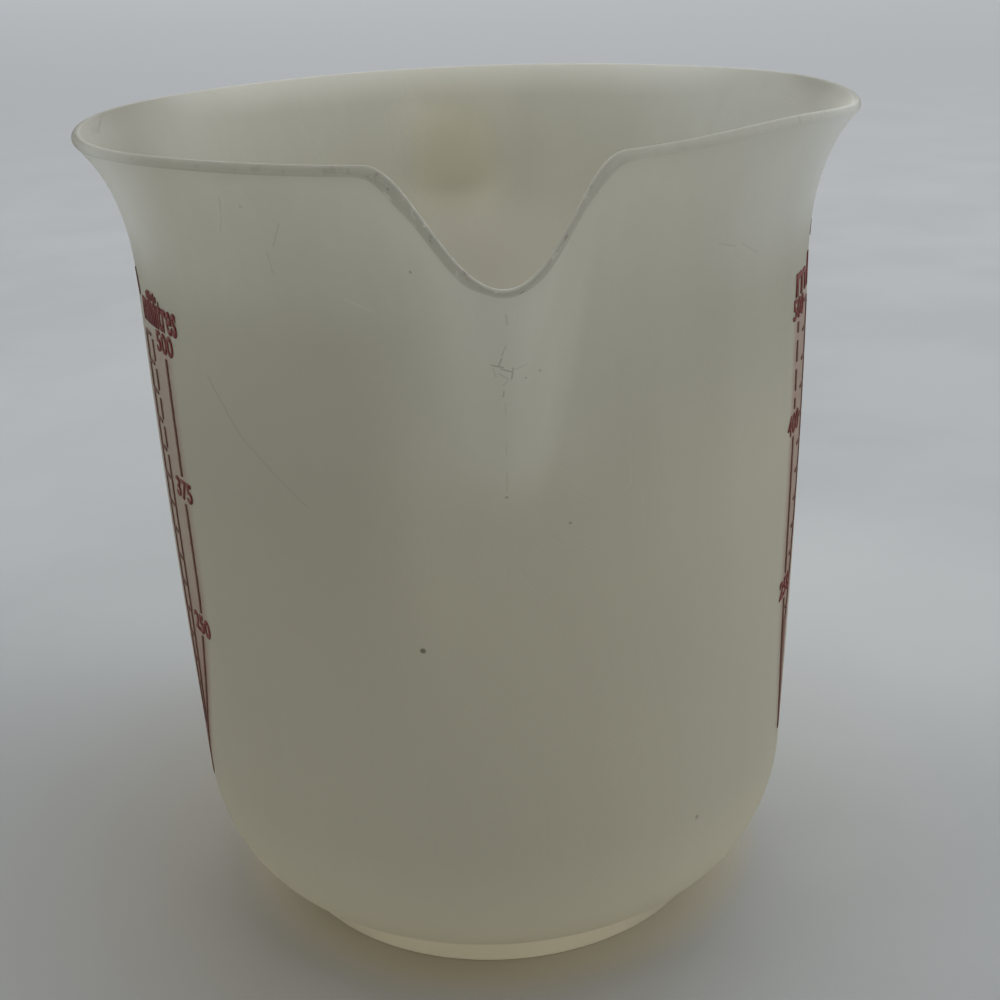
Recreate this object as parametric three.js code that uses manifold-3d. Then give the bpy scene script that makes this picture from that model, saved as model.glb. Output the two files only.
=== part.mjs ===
// A translucent plastic measuring jug, in millimetres, +Z up, standing on its foot ring.
// The pouring lip points along -Y and the handle along +Y.
// One moulded shell makes the wall, rim, lip, floor and foot ring. The handle meets the shell's back at
// two roots, and each side carries a printed scale whose marks sit at the true fill levels.

import * as THREE from "three";
import { mergeVertices } from "three/addons/utils/BufferGeometryUtils.js";
import Module from "manifold-3d";

const manifold = await Module();
manifold.setup();

// Shell: heights are from the table, radii from the jug's axis to the outer skin
const HEIGHT = 115.5;
const RIM_RADIUS = 52;
const NECK_RADIUS = 46.1;
const WALL_FOOT_RADIUS = 44.4;
const WALL = 1.4;
const FLOOR = 1.8;

// Flared rim: the wall turns outwards from the neck and leans by RIM_LEAN at its edge
const FLARE_HEIGHT = 20;
const NECK_BLEND = 10;
const RIM_TURN = 5;
const RIM_LEAN = THREE.MathUtils.degToRad(42);

// Rounded bottom corner and the foot ring under it
const CORNER_RISE = 17.5;
const FOOT_RADIUS = 33.4;
const FOOT_HEIGHT = 5;
const FOOT_RING_WIDTH = 2.2;
const FOOT_EDGE_EASE = 0.4;

// Pouring lip: the rim dips and reaches out here, over a cone that runs down to a point on the wall
const LIP_REACH = 5.2;
const LIP_DIP = 12.3;
const LIP_HALF_ANGLE = THREE.MathUtils.degToRad(15.8);
const LIP_ROOT_HALF_ANGLE = THREE.MathUtils.degToRad(3);
const LIP_ROOT_DROP = 40;

// Handle: a strap in the jug's mid plane, thickest at its two roots and rounded into the wall there
const HANDLE_WIDTH = 12;
const GRIP_THICKNESS = 5.5;
const ROOT_THICKNESS = 8.5;
const ROOT_TAPER = 22;
const ROOT_FILLET = 3;
const HANDLE_EDGE_RADIUS = 1.8;
const FINGER_GAP = 28;
const UPPER_ROOT_DROP = 12.5;
const UPPER_BEND = 15;
const LOWER_ROOT_HEIGHT = 37;
const GRIP_STRAIGHT = 24;
const LOWER_ARM = 20;
const HANDLE_SEAT_CLEARANCE = 0.25;

// Printed scales: each rule runs smoothly through places given as degrees round from the pouring lip and
// height. Below `joined` the rules have closed up and print as one line. Amounts are millilitres.
const LEFT_SCALE = {
  side: -1,
  front: [[76.4, 24], [72.2, 31], [67.9, 38.5], [64.7, 47], [62.7, 55], [62.4, 72], [62.4, 92]],
  middle: [[76.7, 24], [73.4, 31], [71, 38.5], [69.7, 47], [69, 55], [68.7, 72], [68.7, 92]],
  back: [[77.1, 24], [74.8, 31], [73.6, 38.5], [73.1, 47], [73, 55], [73, 72], [73, 92]],
  joined: 31,
  lowest: 75,
};
const RIGHT_SCALE = {
  side: 1,
  front: [[67.9, 24], [66.2, 31], [64.4, 38], [63.3, 45], [62.6, 54], [62.4, 72], [62.4, 92]],
  back: [[68.4, 24], [67.2, 31], [66.2, 38], [66, 45], [67.2, 54], [69.8, 72], [70, 92]],
  joined: 45,
  lowest: 100,
};
const SCALE_FULL = 500;
const SCALE_STEP = 25;
const CUBIC_MM_PER_ML = 1000;
const RULE_WIDTH = 0.6;
const MARK_WIDTH = 0.4;
const MARK_LENGTH = 2.6;
const INK_THICKNESS = 0.12;
const INK_CLEARANCE = 0.05;

// Facets: the shell's facets crowd towards the lip by LIP_CROWDING
const SHELL_FACETS = 88;
const LIP_CROWDING = 0.5;
const CORNER_STEPS = 6;
const WALL_STEPS = 8;
const FLARE_STEPS = 8;
const RIM_EDGE_STEPS = 4;
const HANDLE_STATIONS = 44;
const HANDLE_CORNER_STEPS = 3;
const INK_ROW = 2.5;
const INK_LEAST_WIDTH = 0.15;
const RULE_STEPS = 60;
const WELD_DISTANCE = 1e-3;

const NECK_HEIGHT = HEIGHT - FLARE_HEIGHT;
const CORNER_TOP = FOOT_HEIGHT + CORNER_RISE;

const shellPlastic = new THREE.MeshStandardMaterial({ color: 0xcfccb8, roughness: 0.42, metalness: 0 });
const handlePlastic = new THREE.MeshStandardMaterial({ color: 0xc9c3a4, roughness: 0.4, metalness: 0 });
const ink = new THREE.MeshStandardMaterial({ color: 0x6e1f1e, roughness: 0.5, metalness: 0 });

// The middle of the rim's round edge, and the outward normal of the leaning wall there.
const rimEdge = new THREE.Vector2(RIM_RADIUS - WALL / 2, HEIGHT - WALL / 2);
const rimNormal = new THREE.Vector2(Math.cos(RIM_LEAN), -Math.sin(RIM_LEAN));
const rimRise = new THREE.Vector2(Math.sin(RIM_LEAN), Math.cos(RIM_LEAN));

// One side of the wall from the floor to the rim, as radius and height. The outer skin has no inset.
function wallSide(inset, floorHeight) {
  const end = rimEdge.clone().addScaledVector(rimNormal, WALL / 2 - inset);
  const turn = end.clone().addScaledVector(rimRise, -RIM_TURN);
  const cornerReach = WALL_FOOT_RADIUS - inset - FOOT_RADIUS;
  const neck = NECK_RADIUS - inset;
  const side = new THREE.Path();
  side.absellipse(FOOT_RADIUS, CORNER_TOP, cornerReach, CORNER_TOP - floorHeight, -Math.PI / 2, 0);
  side.quadraticCurveTo(neck, (CORNER_TOP + NECK_HEIGHT) / 2, neck, NECK_HEIGHT);
  side.bezierCurveTo(neck, NECK_HEIGHT + NECK_BLEND, turn.x, turn.y, end.x, end.y);
  const steps = [CORNER_STEPS, WALL_STEPS, FLARE_STEPS];
  return side.curves.flatMap((curve, i) => curve.getSpacedPoints(steps[i]).slice(i === 0 ? 0 : 1));
}

const outerSide = wallSide(0, FOOT_HEIGHT);
const innerSide = wallSide(WALL, FOOT_HEIGHT + FLOOR);

// The value of a line of points at a place along it, where both are given as functions of a point.
function alongPoints(points, place, value, at) {
  const next = points.findIndex((point) => place(point) >= at);
  if (next <= 0) return value(next === 0 ? points[0] : points[points.length - 1]);
  const [a, b] = [points[next - 1], points[next]];
  const share = (at - place(a)) / (place(b) - place(a));
  return THREE.MathUtils.lerp(value(a), value(b), share);
}

function outerRadiusAt(height) {
  return alongPoints(outerSide, (point) => point.y, (point) => point.x, height);
}

const lipRootRadius = outerRadiusAt(HEIGHT - LIP_ROOT_DROP);

// A smooth hump: 1 in the middle, 0 from one width away.
function hump(distance, width) {
  if (Math.abs(distance) >= width) return 0;
  return (1 + Math.cos((Math.PI * distance) / width)) / 2;
}

// Where a point of the plain turned wall goes once the pouring lip is drawn into it. The rim sinks by
// LIP_DIP in the middle of the lip, and the wall moves out to a straight ridge below the lip's tip. The
// cone under the lip narrows towards its root as a cone that leaves a wall does, with the square root.
function drawLip(radius, height, bearing) {
  const drop = HEIGHT - height;
  const left = 1 - drop / LIP_ROOT_DROP;
  if (left <= 0) return { radius, height };
  const width = THREE.MathUtils.lerp(LIP_ROOT_HALF_ANGLE, LIP_HALF_ANGLE, Math.sqrt(left));
  const share = hump(bearing, width);
  const ridgeShare = (LIP_ROOT_DROP - drop - LIP_DIP * left * left) / (LIP_ROOT_DROP - LIP_DIP);
  const ridge = THREE.MathUtils.lerp(lipRootRadius, RIM_RADIUS + LIP_REACH, ridgeShare);
  return {
    radius: radius + (ridge - outerRadiusAt(height)) * share,
    height: height - LIP_DIP * left * left * share,
  };
}

// A solid turned from an outline of radius and height points, with the pouring lip drawn into it.
function turned(outline) {
  const geometry = new THREE.LatheGeometry(outline, SHELL_FACETS);
  geometry.rotateX(Math.PI / 2);
  const position = geometry.getAttribute("position");
  for (let i = 0; i < position.count; i += 1) {
    const radius = Math.hypot(position.getX(i), position.getY(i));
    if (radius < WELD_DISTANCE) continue;
    const evenBearing = Math.atan2(position.getX(i), -position.getY(i));
    const bearing = evenBearing - LIP_CROWDING * Math.sin(evenBearing);
    const moved = drawLip(radius, position.getZ(i), bearing);
    position.setXYZ(i, moved.radius * Math.sin(bearing), -moved.radius * Math.cos(bearing), moved.height);
  }
  return geometry;
}

// Shell: foot ring, outer skin, round rim edge, inner skin, floor
function makeShell() {
  const ringInside = FOOT_RADIUS - FOOT_RING_WIDTH;
  const rimArc = new THREE.EllipseCurve(
    rimEdge.x, rimEdge.y, WALL / 2, WALL / 2, -RIM_LEAN, Math.PI - RIM_LEAN, false, 0,
  );
  const outline = [
    new THREE.Vector2(0, FOOT_HEIGHT),
    new THREE.Vector2(ringInside, FOOT_HEIGHT),
    new THREE.Vector2(ringInside, FOOT_EDGE_EASE),
    new THREE.Vector2(ringInside + FOOT_EDGE_EASE, 0),
    new THREE.Vector2(FOOT_RADIUS - FOOT_EDGE_EASE, 0),
    new THREE.Vector2(FOOT_RADIUS, FOOT_EDGE_EASE),
    ...outerSide,
    ...rimArc.getPoints(RIM_EDGE_STEPS).slice(1, -1),
    ...innerSide.toReversed(),
    new THREE.Vector2(0, FOOT_HEIGHT + FLOOR),
  ];
  return turned(outline);
}

// The jug filled solid and grown by a clearance, which cuts the handle's roots to the wall.
function makeWallEnvelope(clearance) {
  const outline = [
    new THREE.Vector2(0, FOOT_HEIGHT),
    ...outerSide.map((point) => new THREE.Vector2(point.x + clearance, point.y)),
    new THREE.Vector2(0, HEIGHT),
  ];
  return turned(outline);
}

function toSolid(geometry) {
  const bare = geometry.clone();
  bare.deleteAttribute("normal");
  bare.deleteAttribute("uv");
  const merged = mergeVertices(bare, WELD_DISTANCE);
  const mesh = new manifold.Mesh({
    numProp: 3,
    vertProperties: merged.getAttribute("position").array,
    triVerts: new Uint32Array(merged.index.array),
  });
  return new manifold.Manifold(mesh);
}

function toGeometry(solid) {
  const mesh = solid.getMesh();
  const geometry = new THREE.BufferGeometry();
  geometry.setAttribute("position", new THREE.BufferAttribute(mesh.vertProperties, mesh.numProp));
  geometry.setIndex(new THREE.BufferAttribute(mesh.triVerts, 1));
  return geometry;
}

// A closed geometry from a list of triangles, each three THREE.Vector3.
function fromTriangles(triangles) {
  return new THREE.BufferGeometry().setFromPoints(triangles.flat());
}

// The handle's middle line in the jug's mid plane, as distance from the axis and height.
function handlePath() {
  const grip = NECK_RADIUS + FINGER_GAP + GRIP_THICKNESS / 2;
  const upper = HEIGHT - UPPER_ROOT_DROP;
  const inside = NECK_RADIUS - ROOT_FILLET - WALL;
  const bendEnd = upper - UPPER_BEND;
  const path = new THREE.Path();
  path.moveTo(inside, upper);
  path.lineTo(grip - UPPER_BEND, upper);
  path.absarc(grip - UPPER_BEND, bendEnd, UPPER_BEND, Math.PI / 2, 0, true);
  path.bezierCurveTo(
    grip, bendEnd - GRIP_STRAIGHT, NECK_RADIUS + LOWER_ARM, LOWER_ROOT_HEIGHT, inside, LOWER_ROOT_HEIGHT,
  );
  return path;
}

// The strap's thickness at a point of its middle line. It tapers from the roots to the grip, and swells
// in a quarter round where it comes within a fillet of the wall.
function handleThickness(point) {
  const fromWall = Math.max(0, point.x - outerRadiusAt(point.y));
  const tapered = THREE.MathUtils.smoothstep(fromWall, 0, ROOT_TAPER);
  const near = Math.max(0, 1 - fromWall / ROOT_FILLET);
  const swell = 2 * ROOT_FILLET * (1 - Math.sqrt(1 - near * near));
  return THREE.MathUtils.lerp(ROOT_THICKNESS, GRIP_THICKNESS, tapered) + swell;
}

// The strap's section: a rectangle with round corners, width along X and thickness across the path.
function strapSection(thickness) {
  const inX = HANDLE_WIDTH / 2 - HANDLE_EDGE_RADIUS;
  const inY = thickness / 2 - HANDLE_EDGE_RADIUS;
  const centres = [[inX, inY], [-inX, inY], [-inX, -inY], [inX, -inY]];
  return centres.flatMap(([x, y], corner) => {
    const start = (corner * Math.PI) / 2;
    const arc = new THREE.EllipseCurve(
      x, y, HANDLE_EDGE_RADIUS, HANDLE_EDGE_RADIUS, start, start + Math.PI / 2, false, 0,
    );
    return arc.getPoints(HANDLE_CORNER_STEPS);
  });
}

function makeHandle() {
  const path = handlePath();
  const rings = [];
  for (let i = 0; i <= HANDLE_STATIONS; i += 1) {
    const share = i / HANDLE_STATIONS;
    const point = path.getPointAt(share);
    const tangent = path.getTangentAt(share);
    const ring = strapSection(handleThickness(point)).map((corner) => new THREE.Vector3(
      corner.x, point.x - tangent.y * corner.y, point.y + tangent.x * corner.y,
    ));
    rings.push(ring);
  }
  const triangles = [];
  for (let i = 0; i < HANDLE_STATIONS; i += 1) {
    rings[i].forEach((corner, k) => {
      const next = (k + 1) % rings[i].length;
      triangles.push([corner, rings[i + 1][k], rings[i + 1][next]]);
      triangles.push([corner, rings[i + 1][next], rings[i][next]]);
    });
  }
  const [first, last] = [rings[0], rings[HANDLE_STATIONS]];
  for (let k = 1; k < first.length - 1; k += 1) {
    triangles.push([first[0], first[k], first[k + 1]]);
    triangles.push([last[0], last[k + 1], last[k]]);
  }
  const strap = toSolid(fromTriangles(triangles));
  const envelope = toSolid(makeWallEnvelope(HANDLE_SEAT_CLEARANCE));
  return toGeometry(strap.subtract(envelope));
}

// The inside volume in millilitres up to each point of the inner skin.
function fillTable() {
  let filled = 0;
  return innerSide.map((point, i) => {
    if (i > 0) {
      const below = innerSide[i - 1];
      const squares = below.x ** 2 + below.x * point.x + point.x ** 2;
      filled += (Math.PI * (point.y - below.y) * squares) / 3 / CUBIC_MM_PER_ML;
    }
    return { filled, height: point.y };
  });
}

const fills = fillTable();

function fillHeight(amount) {
  return alongPoints(fills, (row) => row.filled, (row) => row.height, amount);
}

// A skin of ink on the wall, made of the inked cells of a grid. A column is a bearing at each height.
function inkSkin(columns, heights, isInked) {
  const point = (column, row, lift) => {
    const radius = outerRadiusAt(heights[row]) + INK_CLEARANCE + lift;
    const bearing = columns[column][row];
    return new THREE.Vector3(radius * Math.sin(bearing), -radius * Math.cos(bearing), heights[row]);
  };
  const triangles = [];
  const face = (a, b, c, d) => triangles.push([a, b, c], [a, c, d]);
  const inked = (column, row) => {
    const onGrid = column >= 0 && row >= 0 && column < columns.length - 1 && row < heights.length - 1;
    return onGrid && isInked(column, row);
  };
  for (let column = 0; column < columns.length - 1; column += 1) {
    for (let row = 0; row < heights.length - 1; row += 1) {
      if (!inked(column, row)) continue;
      const corners = [[column, row], [column + 1, row], [column + 1, row + 1], [column, row + 1]];
      const outer = corners.map(([i, j]) => point(i, j, INK_THICKNESS));
      const inner = corners.map(([i, j]) => point(i, j, 0));
      face(...outer);
      face(...inner.toReversed());
      const beside = [[column, row - 1], [column + 1, row], [column, row + 1], [column - 1, row]];
      beside.forEach(([i, j], k) => {
        const next = (k + 1) % 4;
        if (!inked(i, j)) face(inner[k], inner[next], outer[next], outer[k]);
      });
    }
  }
  return fromTriangles(triangles);
}

// Sorted values with steps added so that none are further apart than the widest step.
function filledIn(values, widest) {
  const sorted = [...new Set(values)].sort((a, b) => a - b);
  return sorted.flatMap((value, i) => {
    if (i === 0) return [value];
    const from = sorted[i - 1];
    const steps = Math.ceil((value - from) / widest);
    return Array.from({ length: steps }, (unused, k) => from + ((value - from) * (k + 1)) / steps);
  });
}

// The distance round the neck, from the pouring lip, of a rule at a height.
function ruleAt(places, height) {
  const curve = new THREE.SplineCurve(places.map(([bearing, level]) => new THREE.Vector2(bearing, level)));
  const points = curve.getPoints(RULE_STEPS);
  const bearing = alongPoints(points, (point) => point.y, (point) => point.x, height);
  return THREE.MathUtils.degToRad(bearing) * NECK_RADIUS;
}

// One printed scale: a front rule, a back rule, and a mark at each amount that runs forward from the back
// rule to the middle rule, or to a free end where there is no middle rule.
function makeScale({ side, front, middle, back, joined, lowest }) {
  const marks = [];
  for (let amount = lowest; amount <= SCALE_FULL; amount += SCALE_STEP) {
    const height = fillHeight(amount);
    marks.push({ low: height - MARK_WIDTH / 2, high: height + MARK_WIDTH / 2 });
  }
  const levels = marks.flatMap(({ low, high }) => [low, high]);
  const heights = filledIn([...levels, joined], INK_ROW);

  const half = RULE_WIDTH / 2;
  const edgesAt = (height) => {
    const frontAt = ruleAt(front, height);
    const backAt = ruleAt(back, height);
    const middleAt = middle ? ruleAt(middle, height) : null;
    const freeEnd = Math.max(backAt - half - MARK_LENGTH, (frontAt + backAt) / 2);
    const markEnd = middle ? [middleAt - half, middleAt + half] : [freeEnd];
    const edges = [frontAt - half, frontAt + half, ...markEnd, backAt - half, backAt + half];
    for (let i = 1; i < edges.length; i += 1) {
      edges[i] = Math.max(edges[i], edges[i - 1] + INK_LEAST_WIDTH);
    }
    return edges;
  };
  const kinds = ["rule", "space", ...(middle ? ["rule"] : []), "mark", "rule"];
  const rows = heights.map(edgesAt);
  const columns = rows[0].map((unused, i) => rows.map((edges) => (side * edges[i]) / NECK_RADIUS));
  if (side < 0) {
    kinds.reverse();
    columns.reverse();
  }

  const isInked = (column, row) => {
    const height = (heights[row] + heights[row + 1]) / 2;
    const marked = marks.some((mark) => height > mark.low && height < mark.high);
    return height < joined || kinds[column] === "rule" || (kinds[column] === "mark" && marked);
  };
  return inkSkin(columns, heights, isInked);
}

function named(name, geometry, material) {
  const mesh = new THREE.Mesh(geometry, material);
  mesh.name = name;
  return mesh;
}

const jug = new THREE.Group();
jug.add(named("jug_body", makeShell(), shellPlastic));
jug.add(named("handle", makeHandle(), handlePlastic));
jug.add(named("left_scale_print", makeScale(LEFT_SCALE), ink));
jug.add(named("right_scale_print", makeScale(RIGHT_SCALE), ink));

// The part's origin is under the middle of its whole outline, lip and handle included.
const outlineBox = new THREE.Box3().setFromObject(jug);
jug.position.y = -(outlineBox.min.y + outlineBox.max.y) / 2;

export default jug;
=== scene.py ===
"""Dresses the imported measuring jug: smooth moulded pieces, printed scales, finishes and a plain studio.

Sizes are in millimetres, as in the part's source, and turn into metres where a mesh is made. A bearing
is an angle about the jug's axis, from the pouring lip towards +X. A height is from the table.
"""

import logging
import math
from collections.abc import Mapping, Sequence
from dataclasses import dataclass, field
from enum import Enum
from functools import reduce

import bpy
import numpy as np
from mathutils import Matrix, Vector


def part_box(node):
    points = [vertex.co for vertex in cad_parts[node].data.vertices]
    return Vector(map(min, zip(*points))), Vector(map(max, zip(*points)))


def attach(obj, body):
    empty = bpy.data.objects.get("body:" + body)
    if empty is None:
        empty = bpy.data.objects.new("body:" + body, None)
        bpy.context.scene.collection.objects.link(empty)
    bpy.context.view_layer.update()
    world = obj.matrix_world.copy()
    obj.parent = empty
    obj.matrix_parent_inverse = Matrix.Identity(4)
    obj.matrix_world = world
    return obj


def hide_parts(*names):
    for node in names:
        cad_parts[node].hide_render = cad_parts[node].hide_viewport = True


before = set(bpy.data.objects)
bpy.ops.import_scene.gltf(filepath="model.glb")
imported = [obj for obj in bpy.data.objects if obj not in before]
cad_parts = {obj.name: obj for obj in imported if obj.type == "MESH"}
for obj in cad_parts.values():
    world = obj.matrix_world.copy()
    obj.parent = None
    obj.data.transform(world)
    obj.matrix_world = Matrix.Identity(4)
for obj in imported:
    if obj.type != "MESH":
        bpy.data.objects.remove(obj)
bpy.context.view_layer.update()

MM = 0.001
BODY = "root"
SHORTEST_PRINT = 0.5
NECK_RADIUS = 46.1

Socket = bpy.types.NodeSocket
Piece = bpy.types.Object
Material = bpy.types.Material
Array = np.ndarray
Faces = Sequence[Sequence[int]]
Three = tuple[float, float, float]
Colour = Three
Span = tuple[float, float]
log = logging.getLogger("measuring_jug")


class Side(Enum):
    """The side of the jug that carries a scale. The value is the sign of its bearings."""

    LEFT = -1
    RIGHT = 1


# Shader graphs


class Value:
    """A number socket whose operators add Math nodes to its graph."""

    def __init__(self, graph: "Graph", socket: Socket) -> None:
        """Keeps the socket and the graph that it belongs to."""
        self.graph = graph
        self.socket = socket

    def _math(self, operation: str, *inputs: "Value | float") -> "Value":
        """The result of one Math node on the inputs in their order."""
        node = self.graph.node("ShaderNodeMath", {"operation": operation}, dict(enumerate(inputs)))
        return Value(self.graph, node.outputs[0])

    def __add__(self, other: "Value | float") -> "Value":
        """Self plus other."""
        return self._math("ADD", self, other)

    def __sub__(self, other: "Value | float") -> "Value":
        """Self minus other."""
        return self._math("SUBTRACT", self, other)

    def __rsub__(self, other: float) -> "Value":
        """Other minus self."""
        return self._math("SUBTRACT", other, self)

    def __mul__(self, other: "Value | float") -> "Value":
        """Self times other."""
        return self._math("MULTIPLY", self, other)

    __radd__ = __add__
    __rmul__ = __mul__

    def __neg__(self) -> "Value":
        """Self with its sign changed."""
        return self._math("MULTIPLY", self, -1.0)

    def absolute(self) -> "Value":
        """The size of self without its sign."""
        return self._math("ABSOLUTE", self)

    def maximum(self, other: "Value | float") -> "Value":
        """The larger of self and other."""
        return self._math("MAXIMUM", self, other)

    def minimum(self, other: "Value | float") -> "Value":
        """The smaller of self and other."""
        return self._math("MINIMUM", self, other)

    def bearing_from(self, other: "Value") -> "Value":
        """The angle whose sine goes with self and whose cosine goes with other."""
        return self._math("ARCTAN2", self, other)

    def step(self, low: float, high: float) -> "Value":
        """A smooth step of self, from 0 at low to 1 at high, where low may be the larger.

        Args:
            low: where the step starts.
            high: where it ends.

        Returns:
            The step.
        """
        start, end, ends = (low, high, (0.0, 1.0)) if low < high else (high, low, (1.0, 0.0))
        node = self.graph.node(
            "ShaderNodeMapRange",
            {"interpolation_type": "SMOOTHSTEP"},
            {"Value": self, "From Min": start, "From Max": end, "To Min": ends[0], "To Max": ends[1]},
        )
        return Value(self.graph, node.outputs[0])


Layer = tuple[Value, object]


class Graph:
    """The node graph of one material, with its piece's place in millimetres about the jug's axis."""

    MIX_A, MIX_B, MIX_RESULT = 6, 7, 2

    def __init__(self, name: str, axis_y: float) -> None:
        """Makes an empty material.

        Args:
            name: the material's name.
            axis_y: where the jug's axis stands along Y, in millimetres.
        """
        self.material = bpy.data.materials.new(name)
        self.material.use_nodes = True
        self.tree = self.material.node_tree
        self.tree.nodes.clear()
        source = self.node("ShaderNodeTexCoord")
        mapping = self.node(
            "ShaderNodeMapping",
            inputs={
                "Vector": source.outputs["Object"],
                "Location": (0.0, -axis_y, 0.0),
                "Scale": (1 / MM, 1 / MM, 1 / MM),
            },
        )
        self.place = mapping.outputs[0]
        parts = self.node("ShaderNodeSeparateXYZ", inputs={0: self.place})
        self.x, self.y, self.z = (Value(self, output) for output in parts.outputs)

    def node(
        self,
        kind: str,
        settings: Mapping[str, object] | None = None,
        inputs: Mapping[int | str, object] | None = None,
    ) -> bpy.types.Node:
        """Adds one node.

        Args:
            kind: the node's type.
            settings: its own properties, which are set first.
            inputs: a value, a socket or a Value for each input, by name or number.

        Returns:
            The new node.
        """
        made = self.tree.nodes.new(kind)
        for name, value in (settings or {}).items():
            setattr(made, name, value)
        for key, value in (inputs or {}).items():
            socket = made.inputs[key]
            if isinstance(value, Value):
                self.tree.links.new(value.socket, socket)
            elif isinstance(value, Socket):
                self.tree.links.new(value, socket)
            elif socket.type == "RGBA":
                socket.default_value = (*value, 1.0)
            else:
                socket.default_value = value
        return made

    def stretched(self, scale: Three, turn: Three = (0.0, 0.0, 0.0)) -> Socket:
        """The place turned by Euler angles and then scaled along each axis."""
        turned = self.node("ShaderNodeMapping", inputs={"Vector": self.place, "Rotation": turn}).outputs[0]
        return self.node("ShaderNodeMapping", inputs={"Vector": turned, "Scale": scale}).outputs[0]

    def noise(
        self, size: float, detail: float = 2.0, at: Socket | None = None, rough: float = 0.5
    ) -> Value:
        """Smooth noise from 0 to 1.

        Args:
            size: how far apart its lumps are, in millimetres.
            detail: how many finer octaves it has.
            at: the place that it reads, or the piece's own place.
            rough: the weight of each finer octave.

        Returns:
            The noise.
        """
        node = self.node(
            "ShaderNodeTexNoise",
            {"noise_dimensions": "3D"},
            {"Vector": at or self.place, "Scale": 1 / size, "Detail": detail, "Roughness": rough},
        )
        return Value(self, node.outputs["Fac"])

    def attribute(self, name: str) -> Value:
        """A number that the mesh carries at its points."""
        return Value(self, self.node("ShaderNodeAttribute", {"attribute_name": name}).outputs["Fac"])

    def vector(self, x: Value | float, y: Value | float, z: Value | float = 0.0) -> Socket:
        """A vector of three numbers."""
        return self.node("ShaderNodeCombineXYZ", inputs={0: x, 1: y, 2: z}).outputs[0]

    def vector_math(self, operation: str, *inputs: object) -> Socket:
        """The vector that one Vector Math node gives."""
        node = self.node("ShaderNodeVectorMath", {"operation": operation}, dict(enumerate(inputs)))
        return node.outputs["Vector"]

    def measure(self, operation: str, *inputs: object) -> Value:
        """The number that one Vector Math node gives, such as a length or a distance."""
        node = self.node("ShaderNodeVectorMath", {"operation": operation}, dict(enumerate(inputs)))
        return Value(self, node.outputs["Value"])

    def mix(self, share: Value | float, low: object, high: object) -> Socket:
        """A colour between low and high, which are colours or colour sockets."""
        inputs = {0: share, self.MIX_A: low, self.MIX_B: high}
        return self.node("ShaderNodeMix", {"data_type": "RGBA"}, inputs).outputs[self.MIX_RESULT]

    def painted(self, colour: object, layers: Sequence[Layer]) -> object:
        """A colour with layers over it in their order, each a share and a colour."""
        return reduce(lambda under, layer: self.mix(layer[0], under, layer[1]), layers, colour)

    def bump(self, height: Value, depth: float) -> Socket:
        """A bumped normal, where a height of 1 stands out by depth millimetres."""
        inputs = {"Height": height, "Distance": depth * MM, "Strength": 1.0}
        return self.node("ShaderNodeBump", inputs=inputs).outputs[0]

    def surface(self, inputs: Mapping[str, object]) -> Socket:
        """A Principled shader with these inputs."""
        return self.node("ShaderNodeBsdfPrincipled", inputs=inputs).outputs[0]

    def finish(self, shader: Socket) -> Material:
        """Links the shader to the material's output and returns the material."""
        self.node("ShaderNodeOutputMaterial", inputs={"Surface": shader})
        return self.material


# The wall's shape


def bezier(points: Sequence[Sequence[float]], steps: int) -> Array:
    """A Bezier curve: each point weighs as its Bernstein polynomial of the share along the curve.

    Args:
        points: the curve's control points.
        steps: how many steps it is cut into.

    Returns:
        One row for each place on the curve.
    """
    control = np.asarray(points, float)
    degree = len(control) - 1
    share = np.linspace(0, 1, steps + 1)[:, None]
    order = np.arange(degree + 1)
    count = np.array([math.comb(degree, k) for k in order])
    weight = count * share**order * (1 - share) ** (degree - order)
    return weight @ control


def arc(centre: Sequence[float], reach: Sequence[float], start: float, end: float, steps: int) -> Array:
    """Part of an ellipse: centre plus reach times the cosine and sine of angles from start to end."""
    angle = np.linspace(start, end, steps + 1)
    return np.asarray(centre) + np.asarray(reach) * np.stack([np.cos(angle), np.sin(angle)], 1)


def smooth(value: Array, low: float, high: float) -> Array:
    """A smooth step: 3 t^2 - 2 t^3 of the share of the way from low to high, held at its ends."""
    share = np.clip((value - low) / (high - low), 0, 1)
    return share * share * (3 - 2 * share)


def distances(places: Array) -> Array:
    """How far along a line each of its places lies: the running sum of the lengths of its steps."""
    return np.concatenate([[0], np.cumsum(np.linalg.norm(np.diff(places, axis=0), axis=1))])


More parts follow.
